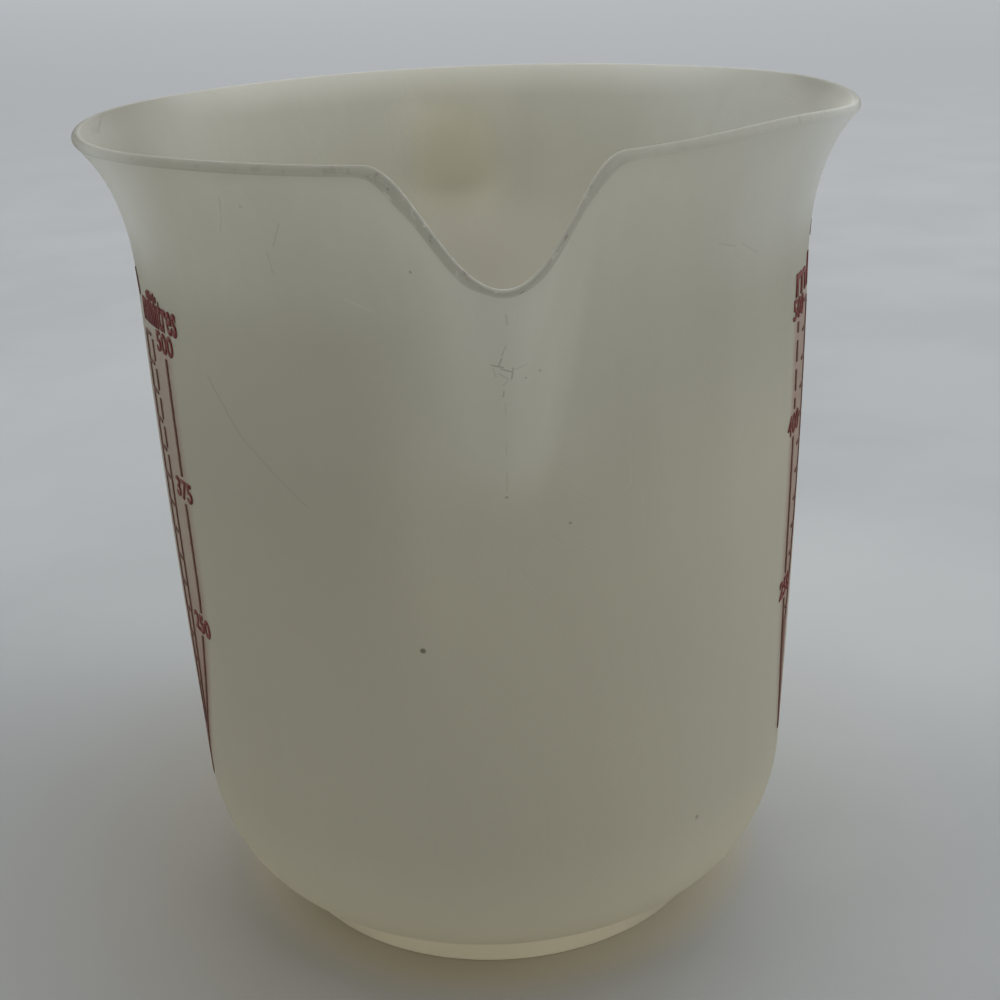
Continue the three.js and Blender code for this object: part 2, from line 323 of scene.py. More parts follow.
@dataclass(frozen=True)
class FootRing:
    """The ring that the jug stands on, the recess inside it and the small mark of the moulding gate."""

    radius: float = 33.4
    height: float = 5.0
    width: float = 2.2
    ease: float = 0.4
    fillet: float = 0.8
    straight: float = 0.1
    weld: float = 0.03
    clear: float = 0.2
    gate_radius: float = 1.3
    gate_edge: float = 0.3
    gate_depth: float = 0.35
    dimple_radius: float = 4.5
    dimple_edge: float = 1.0
    fine_reach: float = 6.0
    steps: tuple[int, int] = (18, 8)
    fillet_steps: int = 5
    ease_steps: int = 4

    def section(self) -> Array:
        """Radius and height from the axis over the recess and the ring to the foot of the outer skin.

        The recess has a shallow dimple with the gate's small round mark in its middle.

        Returns:
            One row for each place.
        """
        ease, fillet = self.ease, self.fillet
        inside = self.radius - self.width
        near = np.linspace(0, self.fine_reach, self.steps[0] + 1)
        far = np.linspace(self.fine_reach, inside - fillet, self.steps[1] + 1)
        reach = np.concatenate([near[1:], far[1:]])
        dimple_edge, gate_edge = self.dimple_radius - self.dimple_edge, self.gate_radius - self.gate_edge
        dimple = self.gate_depth * (1 - smooth(reach, dimple_edge, self.dimple_radius))
        gate = 2 * self.gate_depth * (1 - smooth(reach, gate_edge, self.gate_radius))
        high, quarter = self.height - fillet, math.pi / 2
        outer = (self.radius + fillet, high + self.weld)
        return np.concatenate([
            np.stack([reach, self.height + dimple - gate], 1),
            arc((inside - fillet, high), (fillet, fillet), quarter, 0, self.fillet_steps)[1:],
            [(inside, ease + self.straight)],
            arc((inside + ease, ease), (ease, ease), 2 * quarter, 3 * quarter, self.ease_steps),
            arc((self.radius - ease, ease), (ease, ease), 3 * quarter, 4 * quarter, self.ease_steps),
            [(self.radius, ease + self.straight)],
            arc(outer, (fillet, fillet), 2 * quarter, quarter, self.fillet_steps),
        ])


@dataclass(frozen=True)
class PouringLip:
    """The pouring lip: how far it reaches out and dips, and the cone under it that narrows to a root."""

    reach: float = 5.2
    dip: float = 12.3
    half_angle: float = math.radians(15.8)
    root_half_angle: float = math.radians(3)
    root_drop: float = 40.0

    def share(self, left: Array, bearing: Array) -> Array:
        """How much a place belongs to the lip: a raised cosine of the bearing inside the lip's width.

        The width narrows with the square root of what is left above the cone's root.

        Args:
            left: the share of the cone's height that is left between the place and the root.
            bearing: angle from the lip.

        Returns:
            1 on the lip's middle and 0 beside it and below its root.
        """
        width = self.root_half_angle + (self.half_angle - self.root_half_angle) * np.sqrt(left)
        share = np.where(np.abs(bearing) < width, (1 + np.cos(np.pi * bearing / width)) / 2, 0)
        return np.where(left > 0, share, 0)


@dataclass(frozen=True)
class RimWarp:
    """How the old jug's rim has risen out of flat: most on the lip's right, and not at the back."""

    front: float = 0.95
    side_loss: float = 0.55
    side: Span = (35, 75)
    back: Span = (100, 145)
    right: float = 1.1
    middle: float = 42.0
    spread: float = 20.0
    depth: float = 13.0

    def rise(self, height: Array, top: float, bearing: Array) -> Array:
        """The rise: a plateau over the front and a bell curve on the right, fading out below the rim.

        The plateau fades out in two smooth steps of the bearing.

        Args:
            height: height above the table.
            top: the flat rim's height.
            bearing: angle from the lip.

        Returns:
            How far each place has risen.
        """
        degrees = np.degrees(bearing)
        around = np.abs(degrees)
        front = 1 - self.side_loss * smooth(around, *self.side)
        front -= (1 - self.side_loss) * smooth(around, *self.back)
        bell = np.exp(-(((degrees - self.middle) / self.spread) ** 2))
        return (self.front * front + self.right * bell) * smooth(height, top - self.depth, top)


@dataclass(frozen=True)
class WallShape:
    """The jug's wall: a side line turned about the axis, with the pouring lip drawn into it."""

    height: float = 115.5
    rim_radius: float = 52.0
    neck_radius: float = NECK_RADIUS
    wall_foot_radius: float = 44.4
    wall: float = 1.4
    floor: float = 1.8
    flare_height: float = 20.0
    neck_blend: float = 10.0
    rim_turn: float = 5.0
    rim_lean: float = math.radians(42)
    corner_rise: float = 17.5
    side_steps: tuple[int, int, int] = (18, 44, 26)
    rim_steps: int = 14
    floor_steps: int = 11
    fine: float = 3.0
    foot: FootRing = FootRing()
    lip: PouringLip = PouringLip()
    warp: RimWarp = RimWarp()

    @property
    def corner_top(self) -> float:
        """The height where the rounded bottom corner ends."""
        return self.foot.height + self.corner_rise

    @property
    def neck_height(self) -> float:
        """The height where the flare starts."""
        return self.height - self.flare_height

    @property
    def rim_edge(self) -> Array:
        """The middle of the rim's round edge, as radius and height."""
        return np.array([self.rim_radius - self.wall / 2, self.height - self.wall / 2])

    def side(self, inset: float, floor_height: float, density: float = 1.0) -> Array:
        """One side of the wall: a quarter ellipse, a slow curve to the neck and a Bezier flare.

        Args:
            inset: how far the side lies inside the outer skin.
            floor_height: the height of the floor that it starts from.
            density: how finely it is cut, where 1 is the finish of the shown mesh.

        Returns:
            Radius and height, one row for each place from the floor to the rim.
        """
        normal = np.array([math.cos(self.rim_lean), -math.sin(self.rim_lean)])
        rise = np.array([math.sin(self.rim_lean), math.cos(self.rim_lean)])
        end = self.rim_edge + normal * (self.wall / 2 - inset)
        neck = self.neck_radius - inset
        low = self.wall_foot_radius - inset
        steps = [round(count * density) for count in self.side_steps]
        reach = (low - self.foot.radius, self.corner_top - floor_height)
        corner = arc((self.foot.radius, self.corner_top), reach, -math.pi / 2, 0, steps[0])
        middle = (self.corner_top + self.neck_height) / 2
        wall = bezier([(low, self.corner_top), (neck, middle), (neck, self.neck_height)], steps[1])
        blend = (neck, self.neck_height + self.neck_blend)
        flare = bezier([(neck, self.neck_height), blend, end - rise * self.rim_turn, end], steps[2])
        return np.concatenate([corner, wall[1:], flare[1:]])

    def outer_side(self, density: float = 1.0) -> Array:
        """The outer skin's side line."""
        return self.side(0, self.foot.height, density)

    def inner_side(self, density: float = 1.0) -> Array:
        """The inner skin's side line."""
        return self.side(self.wall, self.foot.height + self.floor, density)

    def outer_radius(self, height: Array | float) -> Array:
        """The outer skin's radius at a height, away from the pouring lip."""
        side = self.outer_side(self.fine)
        return np.interp(height, side[:, 1], side[:, 0])

    def outline(self) -> tuple[Array, Array, Array]:
        """The whole section, from the underside's middle over the rim to the inside floor's middle.

        Returns:
            Radius and height at each place, how far outside the wall it lies (1 on the outer skin and
            0 on the inner skin), and how far along the skin it is from the rim's edge.
        """
        outer = self.outer_side()
        outer = outer[outer[:, 0] > self.foot.radius + self.foot.fillet + self.foot.clear]
        inner = self.inner_side()[::-1]
        half = self.wall / 2
        rim = arc(self.rim_edge, (half, half), -self.rim_lean, math.pi - self.rim_lean, self.rim_steps)
        floor = np.linspace(self.foot.radius, 0, self.floor_steps + 1)[1:-1]
        flat = np.stack([floor, np.full_like(floor, self.foot.height + self.floor)], 1)
        under = self.foot.section()
        places = np.concatenate([under, outer, rim[1:-1], inner, flat])
        counts = (len(under) + len(outer), len(rim) - 2, len(inner) + len(flat))
        outside = np.concatenate([np.ones(counts[0]), np.linspace(1, 0, counts[1]), np.zeros(counts[2])])
        along = distances(places)
        middle = counts[0] + counts[1] // 2
        return places, outside, np.abs(along - along[middle])

    def draw_lip(self, radius: Array, height: Array, bearing: Array) -> tuple[Array, Array]:
        """Draws the pouring lip into the turned wall.

        By its share of the lip, the rim sinks as far as the lip dips, and the wall moves out to a
        straight ridge under the lip's tip.

        Args:
            radius: distance from the axis.
            height: height above the table.
            bearing: angle from the lip.

        Returns:
            The new radius and height.
        """
        lip = self.lip
        drop = self.height - height
        left = np.clip(1 - drop / lip.root_drop, 0, None)
        share = lip.share(left, bearing)
        root = self.outer_radius(self.height - lip.root_drop)
        climb = (lip.root_drop - drop - lip.dip * left**2) / (lip.root_drop - lip.dip)
        ridge = root + (self.rim_radius + lip.reach - root) * climb
        moved = radius + (ridge - self.outer_radius(height)) * share
        return moved, height - lip.dip * left**2 * share

    def fill_height(self, amount: float) -> float:
        """The height of a fill, from the volumes of the cone slices between the inner skin's rings.

        Args:
            amount: the fill, in millilitres.

        Returns:
            The height above the table.
        """
        side = self.inner_side(self.fine)
        low, high = side[:-1], side[1:]
        squares = low[:, 0] ** 2 + low[:, 0] * high[:, 0] + high[:, 0] ** 2
        slices = math.pi * (high[:, 1] - low[:, 1]) * squares / 3
        filled = np.concatenate([[0], np.cumsum(slices)]) * MM
        return float(np.interp(amount, filled, side[:, 1]))


# Meshes


def new_object(name: str, data: bpy.types.ID) -> Piece:
    """Adds an object with this data to the scene.

    Args:
        name: the object's name.
        data: its mesh, curve, lamp or camera.

    Returns:
        The new object.
    """
    made = bpy.data.objects.new(name, data)
    bpy.context.scene.collection.objects.link(made)
    return made


def carry(made: Piece, name: str, values: Array) -> None:
    """Gives each point of a piece a number that its material reads by name."""
    layer = made.data.attributes.new(name, "FLOAT", "POINT")
    layer.data.foreach_set("value", values)


@dataclass(frozen=True)
class Workshop:
    """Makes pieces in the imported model's frame."""

    axis_y: float

    def piece(self, name: str, points: Array, faces: Faces) -> Piece:
        """A smooth mesh piece.

        Args:
            name: the piece's name.
            points: one row for each point, in millimetres about the jug's axis.
            faces: the numbers of each face's points, counter-clockwise from outside.

        Returns:
            The new object.
        """
        placed = (points + (0, self.axis_y, 0)) * MM
        mesh = bpy.data.meshes.new(name)
        mesh.from_pydata(placed.tolist(), [], faces)
        mesh.polygons.foreach_set("use_smooth", np.ones(len(mesh.polygons), bool))
        mesh.update()
        return new_object(name, mesh)

    def dress(self, made: Piece, material: Material, slot: str, *nodes: str) -> Piece:
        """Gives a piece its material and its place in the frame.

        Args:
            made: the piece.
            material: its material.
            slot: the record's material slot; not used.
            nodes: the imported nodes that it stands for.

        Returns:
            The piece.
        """
        made.data.materials.append(material)
        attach(made, BODY)
        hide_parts(*nodes)
        return made


def ring_faces(rows: int, columns: int) -> Array:
    """The quads of a grid of rows whose last column joins its first.

    Args:
        rows: how many rows of points there are.
        columns: how many points each row has.

    Returns:
        Four point numbers for each quad. A quad faces the way that the next column and the next row
        give by the right-hand rule.
    """
    number = np.arange(rows * columns).reshape(rows, columns)
    beside = np.roll(number, -1, axis=1)
    return np.stack([number[:-1], beside[:-1], beside[1:], number[1:]], -1).reshape(-1, 4)


@dataclass(frozen=True)
class Rule:
    """A printed rule: a smooth line through places given as a bearing in degrees and a height."""

    places: tuple[Span, ...]
    neck_radius: float = NECK_RADIUS
    steps: int = 60

    def at(self, height: Array | float) -> Array:
        """How far round the neck from the pouring lip the rule runs at a height.

        It is a Catmull-Rom curve. From place p to place q it is
        p + u t + (3 (q - p) - 2 u - v) t^2 + (2 (p - q) + u + v) t^3,
        where u and v are half the way between the neighbours of p and of q.

        Args:
            height: height above the table.

        Returns:
            The distance in millimetres.
        """
        points = np.array(self.places)
        padded = np.concatenate([points[:1], points, points[-1:]])
        speed = (padded[2:] - padded[:-2]) / 2
        along = np.linspace(0, len(points) - 1, self.steps + 1)
        first = np.minimum(along.astype(int), len(points) - 2)
        share = (along - first)[:, None]
        start, end, leave, arrive = points[first], points[first + 1], speed[first], speed[first + 1]
        line = start + leave * share + (3 * (end - start) - 2 * leave - arrive) * share**2
        line += (2 * (start - end) + leave + arrive) * share**3
        return np.radians(np.interp(height, line[:, 1], line[:, 0])) * self.neck_radius


@dataclass(frozen=True)
class ScaleLayout:
    """Where one scale's rules, marks and numbers stand, and what it is headed with."""

    side: Side
    front: Rule
    back: Rule
    joined: float
    lowest: int
    numbered: tuple[int, ...]
    heading: str
    heading_width: float
    heading_bearing: float
    flick: tuple[Three, ...]
    heading_height: float = 4.6
    middle: Rule | None = None
    heading_gap: float = 3.7
    full: int = 500
    step: int = 25
    glow_start: Span = (-2.8, -0.3)
    glow_end: Span = (1.0, 4.5)
    glow_low: Span = (21, 33)
    glow_high: Span = (90, 93)

    def amounts(self) -> range:
        """The amounts that have a mark, in millilitres."""
        return range(self.lowest, self.full + 1, self.step)

    def glow(self, bearing: Array, height: Array) -> Array:
        """How strongly the ink tints the plastic: 1 between the rules, with smooth steps beside them.

        Args:
            bearing: angle from the lip.
            height: height above the table.

        Returns:
            The tint's share at each place.
        """
        along = bearing * self.side.value * self.front.neck_radius
        after = smooth(along - self.front.at(height), *self.glow_start)
        before = 1 - smooth(along - self.back.at(height), *self.glow_end)
        return after * before * smooth(height, *self.glow_low) * (1 - smooth(height, *self.glow_high))


def open_spans(low: float, high: float, gaps: Sequence[Span]) -> list[Span]:
    """What is left of a run once its gaps are taken out.

    Args:
        low: where the run starts.
        high: where it ends.
        gaps: the gaps' starts and ends.

    Returns:
        The starts and ends of the spans that are left and not too short to print.
    """
    spans, start = [], low
    for gap_low, gap_high in sorted(gaps):
        spans.append((start, gap_low))
        start = max(start, gap_high)
    spans.append((start, high))
    return [span for span in spans if span[1] - span[0] > SHORTEST_PRINT]


@dataclass
class PrintedScale:
    """A printed scale: upright rules that close up below, marks, numbers and a unit as a heading."""

    shape: WallShape
    layout: ScaleLayout
    rule_width: float = 0.6
    mark_width: float = 0.4
    mark_length: float = 2.6
    mark_gap: float = 0.35
    mark_start: float = 1.0
    broken_above: float = 71.0
    number_height: float = 4.0
    digit_height: float = 2.9
    boldness: float = 0.022
    curve_steps: int = 3
    clearance: float = 0.05
    ink: float = 0.09
    ragged: float = 0.06
    row_step: float = 0.45
    mark_columns: int = 9
    points: list[Array] = field(default_factory=list)
    faces: list[list[int]] = field(default_factory=list)
    lettering: list[Array] = field(default_factory=list)

    def lift(self, along: Array, height: Array, out: Array | float) -> Array:
        """Wraps flat print on the wall.

        Args:
            along: the place round the neck, in millimetres from the lip, without the side's sign.
            height: the height.
            out: how far out of the print's inner face the place lies.

        Returns:
            Places about the axis: the wall's radius there plus clearance and out, at the bearing that
            is along over the neck's radius.
        """
        bearing = self.layout.side.value * along / self.shape.neck_radius
        radius = self.shape.outer_radius(height) + self.clearance + out
        return np.stack([radius * np.sin(bearing), -radius * np.cos(bearing), height], -1)

    def add(self, points: Array, faces: Faces, flip: bool, letters: float = 0.0) -> None:
        """Adds one closed patch of print.

        Args:
            points: its places.
            faces: its faces, by place number.
            flip: whether its faces are turned over.
            letters: 1 where it is lettering.
        """
        start = sum(len(block) for block in self.points)
        self.points.append(points)
        self.lettering.append(np.full(len(points), letters))
        turned = [list(face)[::-1] if flip else list(face) for face in faces]
        self.faces += [[number + start for number in face] for face in turned]

    def patch(self, along: Array, height: Array) -> None:
        """Adds a strip of ink from rows of places on its first and second edge.

        The strip is a ring of four points for every row: both edges at the ink's inner face and both
        at its outer face.

        Args:
            along: how far round the neck the edges are, or one column where that is the same for both.
            height: how high they are, or one column.
        """
        along, height = np.broadcast_arrays(along, height)
        edge = np.array([0, 1, 1, 0])
        out = np.array([0, 0, 1, 1]) * self.ink
        ring = self.lift(along[:, edge], height[:, edge], out[None, :])
        rows = len(ring)
        faces = ring_faces(rows, 4)[:, ::-1].tolist()
        last = 4 * rows
        faces += [[0, 1, 2, 3], [last - 1, last - 2, last - 3, last - 4]]
        self.add(ring.reshape(-1, 3), faces, self.layout.side is Side.LEFT)

    def stray(self, place: Array) -> Array:
        """How far an edge strays, so that the print looks screened: a sum of two sines of the place."""
        return self.ragged * (np.sin(place * 2.1 + self.layout.lowest) + np.sin(place * 5.3 + 1)) / 2

    def upright(self, first: Rule, second: Rule, low: float, high: float) -> None:
        """Adds ink from half a width before one rule to half a width after another.

        Args:
            first: the rule that the ink starts from.
            second: the rule that it ends at, which may be the same.
            low: its lowest place.
            high: its highest place.
        """
        height = np.linspace(low, high, max(3, int((high - low) / self.row_step)))
        half = self.rule_width / 2
        start = first.at(height) - half - self.stray(height)
        end = second.at(height) + half + self.stray(height + 7)
        self.patch(np.stack([start, end], 1), height[:, None])

    def mark(self, start: float, end: float, level: float) -> None:
        """Adds a mark that runs round the wall at a level.

        Args:
            start: where it starts round the neck.
            end: where it ends, at the rule.
            level: its height.
        """
        along = np.linspace(end, start, self.mark_columns)
        half = self.mark_width / 2 + self.stray(along)
        self.patch(along[:, None], np.stack([level - half, level + half], 1))

    def words(self, text: str, size: Span, along: float, level: float) -> None:
        """Adds printed characters, upright and read from outside, thickened except where there is a 4.

        A thickened 4 would close up its own small triangle until its outline crossed itself.

        Args:
            text: the characters.
            size: how wide and how tall the text is, where a width of 0 keeps its usual shape.
            along: the middle of the text round the neck.
            level: the middle of the text in height.
        """
        curve = bpy.data.curves.new("characters", "FONT")
        curve.body, curve.size, curve.resolution_u = text, 1.0, self.curve_steps
        curve.extrude, curve.offset = 0.5, 0.0 if "4" in text else self.boldness
        source = new_object("characters", curve)
        mesh = bpy.data.meshes.new_from_object(source)
        flat = np.empty(len(mesh.vertices) * 3)
        mesh.vertices.foreach_get("co", flat)
        flat, number = np.unique(np.round(flat.reshape(-1, 3), 5), axis=0, return_inverse=True)
        number = number.ravel()
        faces = [number[list(face.vertices)].tolist() for face in mesh.polygons]
        bpy.data.objects.remove(source)
        bpy.data.meshes.remove(mesh)
        low, high = flat.min(0), flat.max(0)
        tall = size[1] / (high[1] - low[1])
        wide = size[0] / (high[0] - low[0]) if size[0] else tall
        reading = self.layout.side.value
        x = along + reading * (flat[:, 0] - (low[0] + high[0]) / 2) * wide
        y = level + (flat[:, 1] - (low[1] + high[1]) / 2) * tall
        self.add(self.lift(x, y, (flat[:, 2] > 0) * self.ink), faces, False, 1.0)

    def build(self, shop: Workshop, name: str) -> Piece:
        """Lays out the rules, marks, numbers and heading.

        The front rule has a gap at each number, where the number stands. The rule next to the marks
        also breaks at each of the upper marks. Below the joined height the rules print as one.

        Args:
            shop: makes the piece.
            name: the piece's name.

        Returns:
            The print.
        """
        layout = self.layout
        levels = [self.shape.fill_height(amount) for amount in layout.amounts()]
        bottom, top = levels[0] - self.mark_width / 2, levels[-1] + self.mark_width / 2
        half = self.mark_width / 2 + self.mark_gap
        breaks = [(level - half, level + half) for level in levels if level > self.broken_above]
        numbers = [self.shape.fill_height(amount) for amount in layout.numbered]
        gaps = [(level - self.number_height / 2, level + self.number_height / 2) for level in numbers]

        front_gaps = gaps if layout.middle else gaps + breaks
        for low, high in open_spans(layout.joined, top, front_gaps):
            self.upright(layout.front, layout.front, low, high)
        if layout.middle:
            for low, high in open_spans(layout.joined, top, breaks):
                self.upright(layout.middle, layout.middle, low, high)
        self.upright(layout.back, layout.back, layout.joined, top)
        self.upright(layout.front, layout.back, bottom, layout.joined)

        for level in levels:
            if level > layout.joined + self.mark_start:
                front, back = float(layout.front.at(level)), float(layout.back.at(level))
                start = max(back - self.rule_width / 2 - self.mark_length, (front + back) / 2)
                self.mark(start, back, level)
        for amount, level in zip(layout.numbered, numbers):
            self.words(str(amount), (0, self.digit_height), float(layout.front.at(level)), level)
        middle = math.radians(layout.heading_bearing) * self.shape.neck_radius
        size = (layout.heading_width, layout.heading_height)
        self.words(layout.heading, size, middle, top + layout.heading_gap)
        flick = np.array(layout.flick)
        self.patch(flick[:, :1] + flick[:, 2:] * np.array([[-1, 1]]), flick[:, 1:2])
        made = shop.piece(name, np.concatenate(self.points), self.faces)
        carry(made, "lettering", np.concatenate(self.lettering))
        return made


LEFT_SCALE = ScaleLayout(
    side=Side.LEFT,
    front=Rule(((76.4, 24), (72.2, 31), (67.9, 38.5), (64.7, 47), (62.7, 55), (62.4, 72), (62.4, 92))),
    middle=Rule(((76.7, 24), (73.4, 31), (71, 38.5), (69.7, 47), (69, 55), (68.7, 72), (68.7, 92))),
    back=Rule(((77.1, 24), (74.8, 31), (73.6, 38.5), (73.1, 47), (73, 55), (73, 72), (73, 92))),
    joined=31.0,
    lowest=75,
    numbered=(500, 375, 250),
    heading="millilitres",
    heading_width=12.9,
    heading_bearing=64.6,
    flick=((60.3, 95.2, 0.4), (60.9, 96.2, 0.6), (61.3, 97.4, 0.6), (61.5, 98.6, 0.3)),
)
RIGHT_SCALE = ScaleLayout(
    side=Side.RIGHT,
    front=Rule(((67.9, 24), (66.2, 31), (64.4, 38), (63.3, 45), (62.6, 54), (62.4, 72), (62.4, 92))),
    back=Rule(((68.4, 24), (67.2, 31), (66.2, 38), (66, 45), (67.2, 54), (69.8, 72), (70, 92))),
    joined=45.0,
    lowest=100,
    numbered=(500, 400, 250),
    heading="ml",
    heading_width=8.0,
    heading_bearing=64.9,
    flick=((61.2, 97.9, 0.3), (61.4, 98.6, 0.35), (61.5, 99.3, 0.3), (61.7, 100.0, 0.15)),
)


@dataclass
class JugBody:
    """The moulded shell: wall, rim, pouring lip, floor and foot ring."""

    shape: WallShape
    layouts: tuple[ScaleLayout, ...]
    columns: int = 320
    lip_crowding: float = 0.5
    far_from_rim: float = 200.0

    def bearings(self) -> Array:
        """Even bearings pulled towards the lip: each less half its own sine."""
        even = np.linspace(-math.pi, math.pi, self.columns, endpoint=False)
        return even - self.lip_crowding * np.sin(even)

    def build(self, shop: Workshop) -> Piece:
        """Turns the outline about the axis, draws the lip, and closes both poles.

        The place at row i and column j is the outline's place i at bearing j: radius times the sine
        and minus the cosine of the bearing, and the height.

        Args:
            shop: makes the piece.

        Returns:
            The shell, with the attributes outside, rim_distance and ink_glow.
        """
        outline, outside, from_rim = self.shape.outline()
        bearing = self.bearings()[None, :]
        plain = [np.repeat(outline[:, k : k + 1], self.columns, 1) for k in (0, 1)]
        radius, height = self.shape.draw_lip(*plain, bearing)
        height = height + self.shape.warp.rise(plain[1], self.shape.height, bearing)
        grid = np.stack([radius * np.sin(bearing), -radius * np.cos(bearing), height], -1)
        poles = np.array([(0, 0, outline[0, 1]), (0, 0, outline[-1, 1])])
        points = np.concatenate([grid.reshape(-1, 3), poles])
        rows = len(outline)
        first, last = rows * self.columns, rows * self.columns + 1
        low = np.arange(self.columns)
        high = low + (rows - 1) * self.columns
        faces = ring_faces(rows, self.columns).tolist()
        faces += np.stack([np.full(self.columns, first), np.roll(low, -1), low], 1).tolist()
        faces += np.stack([np.full(self.columns, last), high, np.roll(high, -1)], 1).tolist()
        made = shop.piece("jug_shell", points, faces)
        glow = sum(layout.glow(bearing + 0 * height, height) for layout in self.layouts) * outside[:, None]
        layers = {
            "outside": (np.repeat(outside, self.columns), (1, 0)),
            "rim_distance": (np.repeat(from_rim, self.columns), (self.far_from_rim,) * 2),
            "ink_glow": (glow.ravel(), (0, 0)),
        }
        for name, (values, ends) in layers.items():
            carry(made, name, np.append(values, ends))
        return made


@dataclass
class Handle:
    """The loop handle: a strap with a rounded section, carried along its middle line."""

    shape: WallShape
    width: float = 12.0
    grip_thickness: float = 5.5
    root_thickness: float = 8.5
    root_taper: float = 22.0
    root_fillet: float = 3.0
    side_fillet: float = 1.6
    edge_radius: float = 1.8
    finger_gap: float = 28.0
    upper_root_drop: float = 12.5
    upper_bend: float = 15.0
    lower_root_height: float = 37.0
    grip_straight: float = 24.0
    lower_arm: float = 20.0
    bite: float = 0.1
    line_steps: tuple[int, int, int] = (60, 60, 240)
    stations: int = 180
    corner_steps: int = 9

    def middle_line(self) -> Array:
        """The strap's middle line in the plane of lip and handle, at even steps along it.

        It is a level run out from the wall, a quarter round, and a Bezier back to the lower root.

        Returns:
            Distance from the axis and height, one row for each station.
        """
        grip = self.shape.neck_radius + self.finger_gap + self.grip_thickness / 2
        upper = self.shape.height - self.upper_root_drop
        inside = self.shape.neck_radius - self.root_fillet - self.shape.wall
        bend_end = upper - self.upper_bend
        bend = (grip - self.upper_bend, bend_end)
        back = [
            (grip, bend_end),
            (grip, bend_end - self.grip_straight),
            (self.shape.neck_radius + self.lower_arm, self.lower_root_height),
            (inside, self.lower_root_height),
        ]
        run = np.concatenate([
            np.linspace((inside, upper), (bend[0], upper), self.line_steps[0]),
            arc(bend, (self.upper_bend, self.upper_bend), math.pi / 2, 0, self.line_steps[1])[1:],
            bezier(back, self.line_steps[2])[1:],
        ])
        along = distances(run)
        even = np.linspace(0, along[-1], self.stations)
        return np.stack([np.interp(even, along, run[:, k]) for k in (0, 1)], 1)

    def section(self, swell: Array, thickness: Array) -> tuple[Array, Array]:
        """A rectangle with round corners at every station: each corner's centre plus its quarter round.

        Args:
            swell: how far the strap has swollen into its root at each station, from 0 to 1.
            thickness: its thickness at each station before it swells.

        Returns:
            The places across and through the strap, one row for each station.
        """
        half_width = self.width / 2 + self.side_fillet * swell
        half_thickness = thickness / 2 + self.root_fillet * swell
        radius = self.edge_radius + self.root_fillet * swell
        quarter = np.linspace(0, math.pi / 2, self.corner_steps)
        across, through = [], []
        for corner, (side, face) in enumerate(((1, 1), (-1, 1), (-1, -1), (1, -1))):
            angle = quarter + corner * math.pi / 2
            across.append((half_width - radius)[:, None] * side + radius[:, None] * np.cos(angle))
            through.append((half_thickness - radius)[:, None] * face + radius[:, None] * np.sin(angle))
        return np.concatenate(across, 1), np.concatenate(through, 1)

    def build(self, shop: Workshop) -> Piece:
        """Carries the section along the middle line and seats both roots in the wall.

        The strap swells in a quarter round where it nears the wall. A point that would pass the bite's
        depth in the wall is held there, so the roots join the shell and stay out of its inside.

        Args:
            shop: makes the piece.

        Returns:
            The handle.
        """
        line = self.middle_line()
        from_wall = np.clip(line[:, 0] - self.shape.outer_radius(line[:, 1]), 0, None)
        near = np.clip(1 - from_wall / self.root_fillet, 0, 1)
        swell = 1 - np.sqrt(1 - near**2)
        tapered = smooth(from_wall, 0, self.root_taper)
        thickness = self.root_thickness + (self.grip_thickness - self.root_thickness) * tapered
        across, through = self.section(swell, thickness)
        tangent = np.gradient(line, axis=0)
        tangent /= np.linalg.norm(tangent, axis=1, keepdims=True)
        out = line[:, :1] - tangent[:, 1:] * through
        height = line[:, 1:] + tangent[:, :1] * through
        seat = self.shape.outer_radius(height) - self.bite
        out = np.maximum(out, np.sqrt(seat**2 - across**2))
        points = np.stack([across, out, height], -1)
        rows, columns = across.shape
        faces = ring_faces(rows, columns)[:, ::-1].tolist()
        ends = (np.arange(columns), np.arange(columns)[::-1] + (rows - 1) * columns)
        faces += [end.tolist() for end in ends]
        return shop.piece("jug_handle", points.reshape(-1, 3), faces)


# Finishes


@dataclass(frozen=True)
class Scratch:
    """A fine scratch on the outer skin, between two places given as bearing in degrees and height."""

    start: Span
    end: Span
    width: float = 0.13
    strength: float = 0.3
    core: float = 0.2


@dataclass(frozen=True)
class Speck:
    """A small dark fleck in the plastic, at a bearing in degrees and a height."""

    bearing: float
    height: float
    radius: float = 0.35
    strength: float = 0.8
    core: float = 0.4


@dataclass(frozen=True)
class Milky:
    """The translucent body of a milky plastic: a satin skin mixed with light that comes through."""

    through: float
    roughness: float
    specular: float = 0.5
    ior: float = 1.49

    def shader(self, graph: Graph, colour: Socket, rough: Value, normal: Socket, more: Value) -> Socket:
        """Mixes a plain satin surface with a translucent one.

        Args:
            graph: the material's graph.
            colour: the plastic's colour.
            rough: its roughness.
            normal: its bumped normal.
            more: how much more light comes through in places.

        Returns:
            The mixed shader.
        """
        skin = {
            "Base Color": colour,
            "Roughness": rough,
            "Normal": normal,
            "IOR": self.ior,
            "Specular IOR Level": self.specular,
        }
        behind = graph.node("ShaderNodeBsdfTranslucent", inputs={"Color": colour, "Normal": normal})
        inputs = {0: self.through + more, 1: graph.surface(skin), 2: behind.outputs[0]}
        return graph.node("ShaderNodeMixShader", inputs=inputs).outputs[0]


